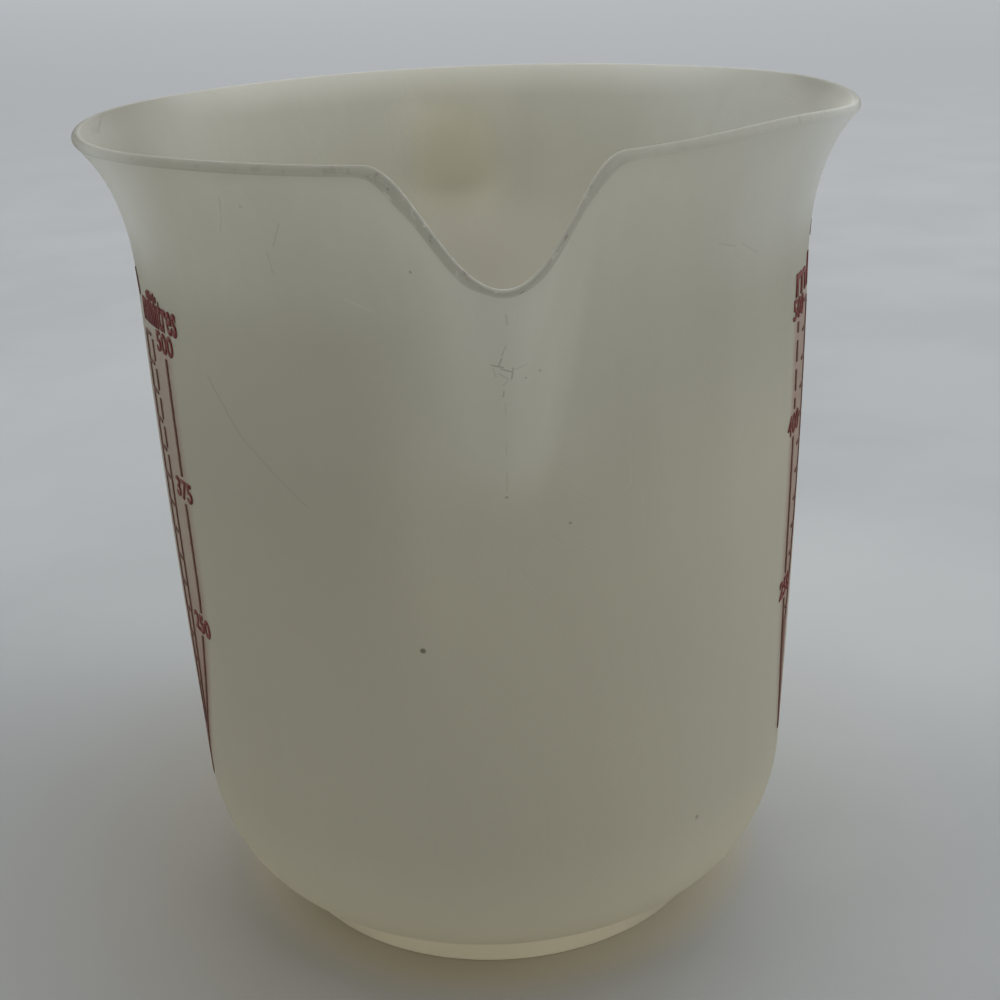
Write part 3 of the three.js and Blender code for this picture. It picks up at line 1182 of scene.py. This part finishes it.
class ShellGraph(Graph):
    """The shell's node graph, with the fields and masks that its colours are worked out from.

    Aside is how far to either side a place is. Behind is 1 on the handle's side, on_right on the right
    side, and outside on the outer skin. From_rim is the distance along the skin from the rim's edge.
    A mask is a product of smooth steps of these fields, so it is 1 in one part of the wall, 0 away from
    it and soft between. Heights and distances are in millimetres and bearings in radians.
    """

    BACK_FADE: Span = (2.9, 1.9)
    LINE_FADE: Span = (0.22, 0.06)

    def __init__(self, axis_y: float, neck_radius: float) -> None:
        """Reads the shell's attributes and makes its noises.

        Args:
            axis_y: where the jug's axis stands along Y, in millimetres.
            neck_radius: the radius at which the wall is unrolled.
        """
        super().__init__("shell_plastic", axis_y)
        self.bearing = self.x.bearing_from(-self.y)
        self.aside = self.x.absolute()
        self.behind = self.y.step(28.0, 40.0)
        self.on_right = self.x.step(0.0, 30.0)
        self.outside = self.attribute("outside")
        self.inside = 1 - self.outside
        self.from_rim = self.attribute("rim_distance")
        self.cloud = self.noise(34.0)
        self.streak = self.noise(7.0, at=self.stretched((1, 1, 0.08)))
        self.fine = self.noise(1.6, 4.0, rough=0.6)
        self.unrolled = self.vector(self.bearing * neck_radius + (self.fine - 0.5) * 0.3, self.z)

    def band(self, low: Span, high: Span) -> Value:
        """1 between two heights: a smooth step up over the low span and down over the high one."""
        return self.z.step(*low) * self.z.step(*high)

    def foot_front(self) -> Value:
        """The front of the foot ring, which lets less light through and carries painted light, lighter and
        yellower.
        """
        return self.z.step(5.4, 3.0) * self.bearing.step(0.95, 0.1) * self.bearing.step(-1.1, -0.5)

    def handle_seats(self) -> Value:
        """The two places where the handle's roots meet the wall, which carry painted light.

        Returns:
            1 there and 0 elsewhere.
        """
        upper = 0.2 * self.z.step(88.0, 92.0) + 0.8 * self.z.step(94.0, 97.2)
        upper = upper * self.z.step(110.2, 108.4)
        lower = self.band((29.8, 31.6), (44.4, 42.6))
        return self.behind * self.aside.step(7.5, 5.9) * upper.maximum(lower) * self.outside

    def ink_glow(self) -> Value:
        """How strongly the ink's colour spreads: more low on the left scale and high on the right one.

        Returns:
            The colour's share.
        """
        left = 0.6 * self.z.step(62.0, 40.0) * self.bearing.step(0.0, -0.5)
        right = 0.45 * self.z.step(38.0, 52.0) * self.bearing.step(0.0, 0.5)
        return self.attribute("ink_glow") * (0.3 + 0.5 * self.fine) * (1 + left + right)

    def dullness(self) -> Value:
        """Painted shade: darker under the flare beside the lip's cone, and inside the two ends.

        Returns:
            How much painted shade each place has.
        """
        left = self.bearing.step(-0.17, -0.42) * self.z.step(103.0, 94.0) * self.z.step(28.0, 80.0)
        left = left * (-self.bearing).step(*self.BACK_FADE)
        right = self.bearing.step(0.35, 0.6) * self.bearing.step(*self.BACK_FADE)
        right = right * self.z.step(80.0, 96.0)
        ends = self.aside.step(40.0, 51.0) * (1 - 0.5 * self.x.step(0.0, 40.0)) * self.inside
        return ((left * 0.6).maximum(right * 0.3) * self.outside).maximum(ends * 0.9)

    def brightness(self) -> Value:
        """Painted light: lighter on the lip's cone, on the right, and inside at the back.

        Returns:
            How much painted light each place has.
        """
        ridge = self.bearing.step(0.08, 0.0) * self.bearing.step(-0.25, -0.06) * 0.14
        cone = self.bearing.absolute().step(0.36, 0.1) * 0.21 + ridge
        cone = cone * self.z.step(72.0, 84.0) * self.outside
        rim = self.y.step(18.0, 40.0) * self.from_rim.step(9.0, 0.5)
        back = self.y.step(10.0, 35.0) * (0.2 + 0.3 * self.z.step(105.0, 88.0))
        side = self.bearing.step(0.3, 0.8) * self.bearing.step(*self.BACK_FADE)
        side = side * self.z.step(88.0, 70.0) * self.outside
        return cone.maximum(side * 0.1).maximum((rim * 0.95).maximum(back) * self.inside)

    def line(self, distance: Value, middle: float) -> Value:
        """A thin line where a distance is near its middle."""
        return (distance - middle).absolute().step(*self.LINE_FADE)

    def hairs(self) -> Value:
        """Hairline wear: the thin level lines of a noise that is stretched aslant.

        Returns:
            1 on a hairline and 0 beside it.
        """
        slanted = self.noise(9.0, 1.0, self.stretched((1, 1, 0.1), (0.5, 0.25, 0.0)))
        first = (slanted - 0.5).absolute().step(0.007, 0.002)
        second = (slanted - 0.41).absolute().step(0.006, 0.002)
        return first.maximum(second) * slanted.step(0.3, 0.6)


@dataclass(frozen=True)
class ShellPlastic:
    """Natural polypropylene that has yellowed with age: milky, satin, cloudy and lightly scratched."""

    axis_y: float
    neck_radius: float = NECK_RADIUS
    dim: Colour = (0.662, 0.65, 0.578)
    clear: Colour = (0.732, 0.726, 0.66)
    dull: Colour = (0.60, 0.58, 0.50)
    lit: Colour = (0.93, 0.925, 0.865)
    # Painted pale light on the outside of the flare's ends.
    pale: Colour = (0.94, 0.955, 0.945)
    aged: Colour = (0.755, 0.72, 0.595)
    # Painted light towards the bottom.
    low: Colour = (0.925, 0.885, 0.76)
    # Painted light for the front of the foot ring.
    foot: Colour = (0.94, 0.87, 0.655)
    # Painted light where the handle's upper root shows through the back wall.
    root: Colour = (0.835, 0.81, 0.72)
    # Painted bluish sky reflection on the right of the flare.
    sky: Colour = (0.92, 0.96, 0.99)
    cool: Colour = (0.90, 0.885, 0.90)
    # Painted shade colour for the rim's front band and inside the flare's ends.
    rim: Colour = (0.36, 0.355, 0.285)
    # Colour of the rim's wear and bright scratches, and of the painted highlight on the rim's inner edge.
    worn: Colour = (0.95, 0.94, 0.88)
    dirt: Colour = (0.14, 0.12, 0.08)
    blush: Colour = (0.56, 0.40, 0.35)
    milky: Milky = Milky(through=0.55, roughness=0.44)
    mottle: Three = (1.1, 1.2, 0.4)
    seat_through: float = 0.36
    foot_through: float = -0.36
    relief: float = 0.05
    scratches: tuple[Scratch, ...] = (
        Scratch((-37.2, 112.2), (-38.3, 110.3), strength=0.17),
        Scratch((-38.5, 109.8), (-39.9, 107.7), strength=0.12),
        Scratch((-29.2, 109.4), (-31.2, 106.6), strength=0.17),
        Scratch((-32.5, 105.8), (-32.2, 103.2), strength=0.14),
        Scratch((-49.0, 89.0), (-42.8, 82.4), width=0.24, strength=0.14),
        Scratch((-42.8, 82.4), (-31.0, 74.6), width=0.24, strength=0.09),
        Scratch((34.4, 103.6), (37.9, 102.8), strength=0.13),
        Scratch((39.5, 102.9), (43.8, 101.1), strength=0.13),
        Scratch((-21.5, 100.7), (-17.6, 99.4), width=0.3, strength=-0.14),
        Scratch((0.0, 101.4), (0.1, 100.2), width=0.14, strength=0.18),
        Scratch((-0.1, 97.6), (-0.5, 96.4), width=0.1, strength=0.22),
        Scratch((-0.5, 96.1), (-0.9, 95.1), width=0.12, strength=0.32),
        Scratch((-1.6, 95.2), (-0.4, 95.0), width=0.13, strength=0.4),
        Scratch((-0.6, 94.8), (0.7, 94.3), width=0.12, strength=0.36),
        Scratch((0.8, 94.8), (0.6, 93.4), width=0.12, strength=0.34),
        Scratch((-1.5, 94.8), (-1.2, 93.8), width=0.1, strength=0.18),
        Scratch((-0.8, 94.2), (0.2, 93.5), width=0.1, strength=0.24),
        Scratch((0.2, 93.3), (-0.4, 92.6), width=0.1, strength=0.16),
        Scratch((1.0, 94.6), (2.6, 94.9), width=0.1, strength=0.16),
        Scratch((-0.3, 91.9), (-0.4, 91.2), width=0.12, strength=0.3),
        Scratch((-0.1, 90.3), (-0.1, 88.8), width=0.12, strength=0.09),
        Scratch((0.0, 84.9), (0.0, 83.2), width=0.12, strength=0.1),
        Scratch((0.1, 80.6), (0.0, 77.8), width=0.12, strength=0.13),
    )
    specks: tuple[Speck, ...] = (
        Speck(-13.75, 56.6, 0.48, 0.8),
        Speck(9.38, 72.7, 0.26, 0.4),
        Speck(34.2, 24.2, 0.5, 0.35),
        Speck(-11.6, 104.2, 0.24, 0.4),
        Speck(0.0, 77.0, 0.26, 0.42),
        Speck(-34.4, 111.2, 0.3, 0.16),
        Speck(4.4, 93.4, 0.2, 0.35),
        Speck(2.4, 93.2, 0.2, 0.3),
        Speck(-64.0, 51.0, 0.4, 0.5),
    )

    def material(self) -> Material:
        """Builds the shell's material: a mottled plastic with its layers of colour in their order, some
        painted light and shade.

        Returns:
            The material.
        """
        graph = ShellGraph(self.axis_y, self.neck_radius)
        foot, seats, hairs = graph.foot_front(), graph.handle_seats(), graph.hairs()
        dirt, bright = (mark * graph.outside for mark in self.marks(graph))
        noises = zip((graph.cloud, graph.streak, graph.fine), self.mottle)
        mottle = reduce(Value.__add__, ((noise - 0.5) * weight for noise, weight in noises))
        colour = graph.painted(
            graph.mix(0.5 + mottle, self.dim, self.clear),
            [
                (graph.z.step(104.0, 60.0) * (0.4 + 0.4 * graph.cloud), self.aged),
                # Painted light: lighter and yellower towards the bottom, as if lit through the base.
                (graph.z.step(28.0, 4.0) * 0.8, self.low),
                # Painted light: the front of the foot ring is lighter and yellower, as if lit through the
                # ring.
                (foot, self.foot),
                # Painted shade under the flare beside the lip's cone and inside the two ends.
                (graph.dullness(), self.dull),
                # Painted light on the lip's cone, on the right, and on the back rim and wall inside.
                (graph.brightness(), self.lit),
                *self.end_layers(graph),
                *self.back_layers(graph),
                # Painted light where the handle's roots meet the wall, which lightens their shade on the
                # back wall.
                (seats * 0.8, self.lit),
                (graph.ink_glow(), self.blush),
                (dirt, self.dirt),
                *self.rim_layers(graph, bright),
            ],
        )
        rough = self.milky.roughness + (graph.fine - 0.5) * 0.14 + hairs * 0.12 + dirt * 0.2
        normal = graph.bump(graph.fine * 0.5 + graph.streak * 0.5 - hairs * 0.25, self.relief)
        through = seats * self.seat_through + foot * self.foot_through
        return graph.finish(self.milky.shader(graph, colour, rough, normal, through))

    def end_layers(self, graph: ShellGraph) -> list[Layer]:
        """The flare's two ends: painted pale light outside, painted bluish sky reflection on the right,
        painted shade inside.

        Args:
            graph: the shell's graph.

        Returns:
            The layers, each a share and a colour.
        """
        tips = graph.aside.step(36.0, 47.0) * graph.z.step(98.0, 106.0) * graph.outside
        flare = graph.x.step(18.0, 40.0) * graph.z.step(94.0, 106.0) * graph.outside
        corners = graph.x.step(-45.0, -51.0) * 0.4 + graph.x.step(47.5, 51.5) * 0.7
        # Painted pale light on the ends outside, painted sky reflection on the right, painted shade inside
        # the ends.
        return [
            (tips * (0.86 + 0.14 * graph.on_right), self.pale),
            (flare * 0.36, self.sky),
            ((graph.x.step(-39.0, -50.0) * 0.36 + corners) * graph.inside, self.rim),
        ]

    def back_layers(self, graph: ShellGraph) -> list[Layer]:
        """The back wall: painted yellowish light at the handle's upper root, painted bluish light below it
        inside.

        Args:
            graph: the shell's graph.

        Returns:
            The layers, each a share and a colour.
        """
        root = graph.behind * graph.aside.step(12.0, 4.5) * graph.band((80.0, 96.0), (115.0, 106.0))
        cool = graph.behind * graph.aside.step(24.0, 8.0) * graph.band((40.0, 60.0), (98.0, 88.0))
        # Painted light where the handle's root shows through the back wall, and painted bluish light below
        # it inside.
        return [(root * (0.5 + 0.5 * graph.streak), self.root), (cool * graph.inside * 0.5, self.cool)]

    def rim_layers(self, graph: ShellGraph, bright: Value) -> list[Layer]:
        """The rim's band of painted shade, its wear and painted highlight, and the nicks and darker line
        under it.

        Args:
            graph: the shell's graph.
            bright: the bright scratches, which share the colour of the wear and the painted highlight.

        Returns:
            The layers, each a share and a colour.
        """
        degrees = graph.bearing * (180 / math.pi)
        around = degrees.absolute()
        lip, right = around.step(17.0, 13.0), degrees.step(-1.0, 3.0)
        slope = around.step(1.5, 5.0) * around.step(15.5, 11.5)
        rubbed = degrees.step(-37.0, -33.0) * degrees.step(-24.0, -29.0)
        reach = graph.from_rim - 1.2 * lip - slope * (1.9 - 0.7 * right)
        edge = reach.step(1.0, 0.55)
        # Painted shade: a darker band along the rim's front edge, darkest at the flare's two ends.
        band = (0.4 - 0.28 * graph.x.step(-8.0, 30.0)) * (0.1 + 0.9 * graph.x.step(-50.0, -36.0))
        band = band + graph.aside.step(46.0, 52.0) * (0.45 + 0.25 * graph.on_right)
        # Painted highlight: a thin light line along the rim's inner edge.
        inner = graph.line(graph.from_rim, 0.8) * graph.inside * (0.1 + 0.7 * lip) * (1 - 0.75 * right)
        worn = edge * graph.fine.step(0.60, 0.68) * (0.1 + 0.9 * rubbed.maximum(lip * 0.35))
        nicks = edge * graph.fine.step(0.40, 0.33) * (0.12 + 0.3 * lip)
        # A thin darker line along the outer edge of the rim's band.
        outer_line = graph.line(reach, 0.9) * graph.outside * (0.05 + 0.25 * graph.streak) * (1 - 0.7 * right)
        return [
            (edge * band * (1 - graph.behind), self.rim),
            (bright.maximum(worn).maximum(inner), self.worn),
            (nicks.maximum(outer_line), self.dirt),
        ]

    def unroll(self, place: Span) -> Array:
        """A bearing in degrees and a height as a place on the unrolled wall, in millimetres."""
        return np.array([math.radians(place[0]) * self.neck_radius, place[1], 0.0])

    def marks(self, graph: ShellGraph) -> tuple[Value, Value]:
        """The specks and scratches: how dark and how bright their marks are.

        A scratch's mark falls off with the distance to its line: the place less its start, less the
        line's own vector times the clamped share of the way along it.

        Args:
            graph: the material's graph.

        Returns:
            How dark and how bright the marks are.
        """
        dark, bright = [], []
        for speck in self.specks:
            centre = tuple(self.unroll((speck.bearing, speck.height)))
            away = graph.measure("DISTANCE", graph.unrolled, centre)
            dark.append(away.step(speck.radius, speck.radius * speck.core) * speck.strength)
        for scratch in self.scratches:
            start = self.unroll(scratch.start)
            line = self.unroll(scratch.end) - start
            away = graph.vector_math("SUBTRACT", graph.unrolled, tuple(start))
            share = graph.measure("DOT_PRODUCT", away, tuple(line / (line @ line)))
            inputs = {"Vector": tuple(line), "Scale": share.maximum(0.0).minimum(1.0)}
            nearest = graph.node("ShaderNodeVectorMath", {"operation": "SCALE"}, inputs).outputs[0]
            gap = graph.measure("DISTANCE", away, nearest)
            stroke = gap.step(scratch.width, scratch.width * scratch.core) * abs(scratch.strength)
            (dark if scratch.strength > 0 else bright).append(stroke)
        return reduce(Value.maximum, dark), reduce(Value.maximum, bright)

@dataclass(frozen=True)
class HandlePlastic:
    """The same plastic where it is thick, so that it looks yellower."""

    axis_y: float
    dim: Colour = (0.86, 0.83, 0.71)
    clear: Colour = (0.92, 0.895, 0.79)
    grip: Colour = (0.92, 0.91, 0.84)
    # Painted light near the handle's roots.
    seat: Colour = (0.97, 0.965, 0.95)
    gripped: Span = (60.0, 78.0)
    seated: Span = (53.0, 48.5)
    parting: Span = (0.16, 0.04)
    relief: float = 0.05
    milky: Milky = Milky(through=0.68, roughness=0.4)

    def material(self) -> Material:
        """Builds the handle's material, with a parting line along its middle.

        Returns:
            The material.
        """
        graph = Graph("handle_plastic", self.axis_y)
        cloud = graph.noise(18.0, 3.0)
        mottle = graph.noise(1.8, 4.0)
        colour = graph.mix(0.5 + (cloud - 0.5) * 1.2 + (mottle - 0.5) * 0.3, self.dim, self.clear)
        handled = graph.y.step(*self.gripped) * graph.noise(4.0, 4.0).step(0.35, 0.65)
        colour = graph.mix(handled * 0.5, colour, self.grip)
        parting = graph.x.absolute().step(*self.parting)
        peel = graph.noise(1.1, 3.0)
        rough = self.milky.roughness + (mottle - 0.5) * 0.15 + handled * 0.08
        normal = graph.bump(peel * 0.4 + parting * 1.2, self.relief)
        seated = graph.y.step(*self.seated)
        # Painted light: the handle is lighter near its roots, so that they shade the wall less.
        colour = graph.mix(seated * 0.6, colour, self.seat)
        return graph.finish(self.milky.shader(graph, colour, rough, normal, seated * 0.26))


@dataclass(frozen=True)
class PrintInk:
    """Dark red screen ink, a little thin in places."""

    axis_y: float
    full: Colour = (0.175, 0.018, 0.015)
    thin: Colour = (0.29, 0.10, 0.08)
    rule: Colour = (0.155, 0.075, 0.052)
    thin_from: Span = (0.46, 0.68)
    roughness: float = 0.55
    specular: float = 0.25
    relief: float = 0.01

    def material(self) -> Material:
        """Builds the ink's material.

        Returns:
            The material.
        """
        graph = Graph("scale_ink", self.axis_y)
        patchy = graph.noise(1.4, 4.0, rough=0.6)
        fine = graph.noise(0.35, 2.0)
        thinness = (patchy * 0.7 + fine * 0.3).step(*self.thin_from)
        colour = graph.mix(thinness, self.full, self.thin)
        colour = graph.mix(0.8 - 0.7 * graph.attribute("lettering"), colour, self.rule)
        inputs = {
            "Base Color": colour,
            "Roughness": self.roughness + (fine - 0.5) * 0.2,
            "Specular IOR Level": self.specular,
            "Normal": graph.bump(fine, self.relief),
        }
        return graph.finish(graph.surface(inputs))


@dataclass(frozen=True)
class FloorPaper:
    """The ground, with the soft light and shade that the photograph shows on it."""

    axis_y: float
    colour: Colour = (0.525, 0.545, 0.555)
    far: Colour = (0.44, 0.455, 0.475)
    dim: Colour = (0.42, 0.43, 0.43)
    near: Colour = (0.40, 0.405, 0.41)
    bright: Colour = (0.63, 0.65, 0.66)
    warm: Colour = (0.40, 0.375, 0.325)
    glow: Colour = (0.62, 0.56, 0.42)
    cloud_shade: float = 0.92
    dim_place: Span = (-85.0, -25.0)
    bright_places: tuple[Span, Span] = ((85.0, 70.0), (-100.0, 210.0))
    roughness: float = 0.9
    specular: float = 0.1

    def material(self) -> Material:
        """Builds the floor's material: its colours laid over one another by place.

        Returns:
            The material.
        """
        graph = Graph("floor_paper", self.axis_y)
        ground = graph.vector(graph.x, graph.y)
        from_axis = graph.measure("LENGTH", ground)
        from_dim, from_right, from_left = (
            graph.measure("DISTANCE", ground, (*place, 0.0))
            for place in (self.dim_place, *self.bright_places)
        )
        cloud = graph.noise(60.0, 3.0).step(0.35, 0.65)
        shadow = from_axis.step(95.0, 35.0) * (0.7 + 0.3 * graph.noise(14.0))
        # Painted light and shade: darker far back and at the front, two painted pools of light, the jug's
        # painted shadow and painted glow round its foot.
        layers = [
            (cloud * 0.7, tuple(self.cloud_shade * part for part in self.colour)),
            (graph.y.step(300.0, 1100.0), self.far),
            (from_dim.step(125.0, 35.0), self.dim),
            (graph.y.step(-30.0, -80.0) * 0.6, self.near),
            (from_right.step(80.0, 20.0) * 0.45, self.bright),
            (from_left.step(130.0, 40.0) * 0.3, self.bright),
            (shadow * (1 - 0.75 * graph.x.step(-5.0, 40.0)), self.warm),
            (from_axis.step(43.0, 36.0) * 0.6, self.glow),
        ]
        inputs = {
            "Base Color": graph.painted(self.colour, layers),
            "Roughness": self.roughness,
            "Specular IOR Level": self.specular,
        }
        return graph.finish(graph.surface(inputs))


@dataclass(frozen=True)
class CardPaper:
    """Plain dark paper."""

    axis_y: float
    colour: Colour = (0.1, 0.1, 0.1)
    roughness: float = 0.9

    def material(self) -> Material:
        """Builds the card's material."""
        graph = Graph("card_paper", self.axis_y)
        return graph.finish(graph.surface({"Base Color": self.colour, "Roughness": self.roughness}))


# The studio


@dataclass(frozen=True)
class Lamp:
    """A soft lamp that faces the jug. Its place and size are in metres and its power in watts."""

    name: str
    place: Three
    power: float
    size: Span
    colour: Colour = (1.0, 1.0, 1.0)


@dataclass(frozen=True)
class FittedCamera:
    """The camera that was fitted to the photograph.

    Its place is given in rim radii from the middle of the rim, and its axes by yaw, pitch and roll, all
    turned about the jug's axis so that the lip points along -Y.
    """

    lens: float = 54.0
    sensor: float = 36.0
    clip_start: float = 0.01
    distance: float = 4.0038
    rise: float = 0.5159
    pitch: float = 0.38544
    yaw: float = 0.011185
    roll: float = -0.041346
    turn: float = math.radians(-3.2)

    def axes(self) -> Matrix:
        """The camera's right, up and backward axes as the columns of a matrix.

        Returns:
            The matrix.
        """
        forward = Vector((
            math.sin(self.yaw) * math.cos(self.pitch),
            math.cos(self.yaw) * math.cos(self.pitch),
            -math.sin(self.pitch),
        ))
        level = Vector((math.cos(self.yaw), -math.sin(self.yaw), 0))
        over = level.cross(forward)
        right = level * math.cos(self.roll) + over * math.sin(self.roll)
        up = over * math.cos(self.roll) - level * math.sin(self.roll)
        return Matrix((right, up, -forward)).transposed()

    def make(self, middle: Vector, unit: float) -> None:
        """Makes the camera and gives it to the scene.

        Args:
            middle: the middle of the rim, in metres.
            unit: the rim's radius, in metres.
        """
        turn = Matrix.Rotation(self.turn, 3, "Z")
        place = middle + turn @ Vector((0, -self.distance, self.rise)) * unit
        data = bpy.data.cameras.new("camera")
        data.lens, data.sensor_width, data.sensor_fit = self.lens, self.sensor, "HORIZONTAL"
        data.clip_start = self.clip_start
        camera = new_object("camera", data)
        camera.matrix_world = Matrix.Translation(place) @ (turn @ self.axes()).to_4x4()
        bpy.context.scene.camera = camera


@dataclass
class Studio:
    """A plain pale floor, soft lamps, a dark card and the camera at the photograph's angle."""

    axis_y: float
    shape: WallShape
    floor_radius: float = 9.0
    floor_corners: int = 96
    sky: Colour = (0.83, 0.84, 0.845)
    aim_height: float = 0.06
    card: tuple[float, float, float, float] = (-1.2, 0.3, 0.22, 1.3)
    card_y: float = -0.5
    camera: FittedCamera = FittedCamera()
    lamps: tuple[Lamp, ...] = (
        Lamp("window_lamp", (1.0, 6.0, 1.7), 88.0, (5.0, 2.2)),
        Lamp("right_lamp", (2.2, 0.0, 0.8), 3.0, (1.2, 1.0), (0.94, 0.97, 1.0)),
    )

    def build(self) -> None:
        """Makes the floor, the card, the sky, the lamps and the camera."""
        self.make_floor()
        self.make_card()
        self.make_sky()
        for lamp in self.lamps:
            self.make_lamp(lamp)
        middle = Vector((0, self.axis_y * MM, self.shape.height * MM))
        self.camera.make(middle, self.shape.rim_radius * MM)
        bpy.context.scene.view_settings.view_transform = "Standard"

    def make_floor(self) -> None:
        """A round floor, cut finely enough that it has no visible corners."""
        angle = np.linspace(0, 2 * math.pi, self.floor_corners, endpoint=False)
        ring = np.stack([np.cos(angle), np.sin(angle), np.zeros_like(angle)], 1) * self.floor_radius
        floor = self.flat("studio_floor", ring, FloorPaper(self.axis_y).material())

    def make_card(self) -> None:
        """A dark card on the camera's side, which keeps the light from the jug's front."""
        left, right, low, high = self.card
        corners = ((left, low), (right, low), (right, high), (left, high))
        places = np.array([(x, self.card_y, z) for x, z in corners])
        card = self.flat("studio_card", places, CardPaper(self.axis_y).material())
        card.visible_camera = False

    def flat(self, name: str, points: Array, paper: Material) -> Piece:
        """A flat sheet of one face.

        Args:
            name: the sheet's name.
            points: its corners in their order, in metres.
            paper: its material.

        Returns:
            The sheet.
        """
        mesh = bpy.data.meshes.new(name)
        mesh.from_pydata(points.tolist(), [], [list(range(len(points)))])
        mesh.materials.append(paper)
        return new_object(name, mesh)

    def make_sky(self) -> None:
        """One even colour all round, which lights the jug and shows beyond the floor."""
        world = bpy.data.worlds.new("studio_sky")
        world.use_nodes = True
        background = world.node_tree.nodes["Background"]
        background.inputs["Color"].default_value = (*self.sky, 1.0)
        background.inputs["Strength"].default_value = 1.0
        bpy.context.scene.world = world

    def make_lamp(self, lamp: Lamp) -> None:
        """One area lamp, turned towards the jug's middle.

        Args:
            lamp: what it is called, where it stands and how it shines.
        """
        data = bpy.data.lights.new(lamp.name, "AREA")
        data.energy, data.color, data.shape = lamp.power, lamp.colour, "RECTANGLE"
        data.size, data.size_y = lamp.size
        made = new_object(lamp.name, data)
        made.location = lamp.place
        aim = Vector((0, self.axis_y * MM, self.aim_height)) - Vector(lamp.place)
        made.rotation_euler = aim.to_track_quat("-Z", "Y").to_euler()


def main() -> None:
    """Builds the studio and every piece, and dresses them."""
    logging.basicConfig(level=logging.INFO, format="%(name)s: %(message)s")
    shape = WallShape()
    axis_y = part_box("jug_body")[1].y / MM - shape.rim_radius
    shop = Workshop(axis_y)
    Studio(axis_y, shape).build()

    body = JugBody(shape, (LEFT_SCALE, RIGHT_SCALE)).build(shop)
    shop.dress(body, ShellPlastic(axis_y).material(), "shell_plastic", "jug_body")
    handle = Handle(shape).build(shop)
    shop.dress(handle, HandlePlastic(axis_y).material(), "handle_plastic", "handle")
    ink = PrintInk(axis_y).material()
    prints = []
    for layout in (LEFT_SCALE, RIGHT_SCALE):
        side = layout.side.name.lower()
        made = PrintedScale(shape, layout).build(shop, f"{side}_scale_ink")
        prints.append(shop.dress(made, ink, "ink", f"{side}_scale_print"))
    for made in (body, handle, *prints):
        log.info("%s: %d points, %d faces", made.name, len(made.data.vertices), len(made.data.polygons))


if __name__ == "__main__":
    main()
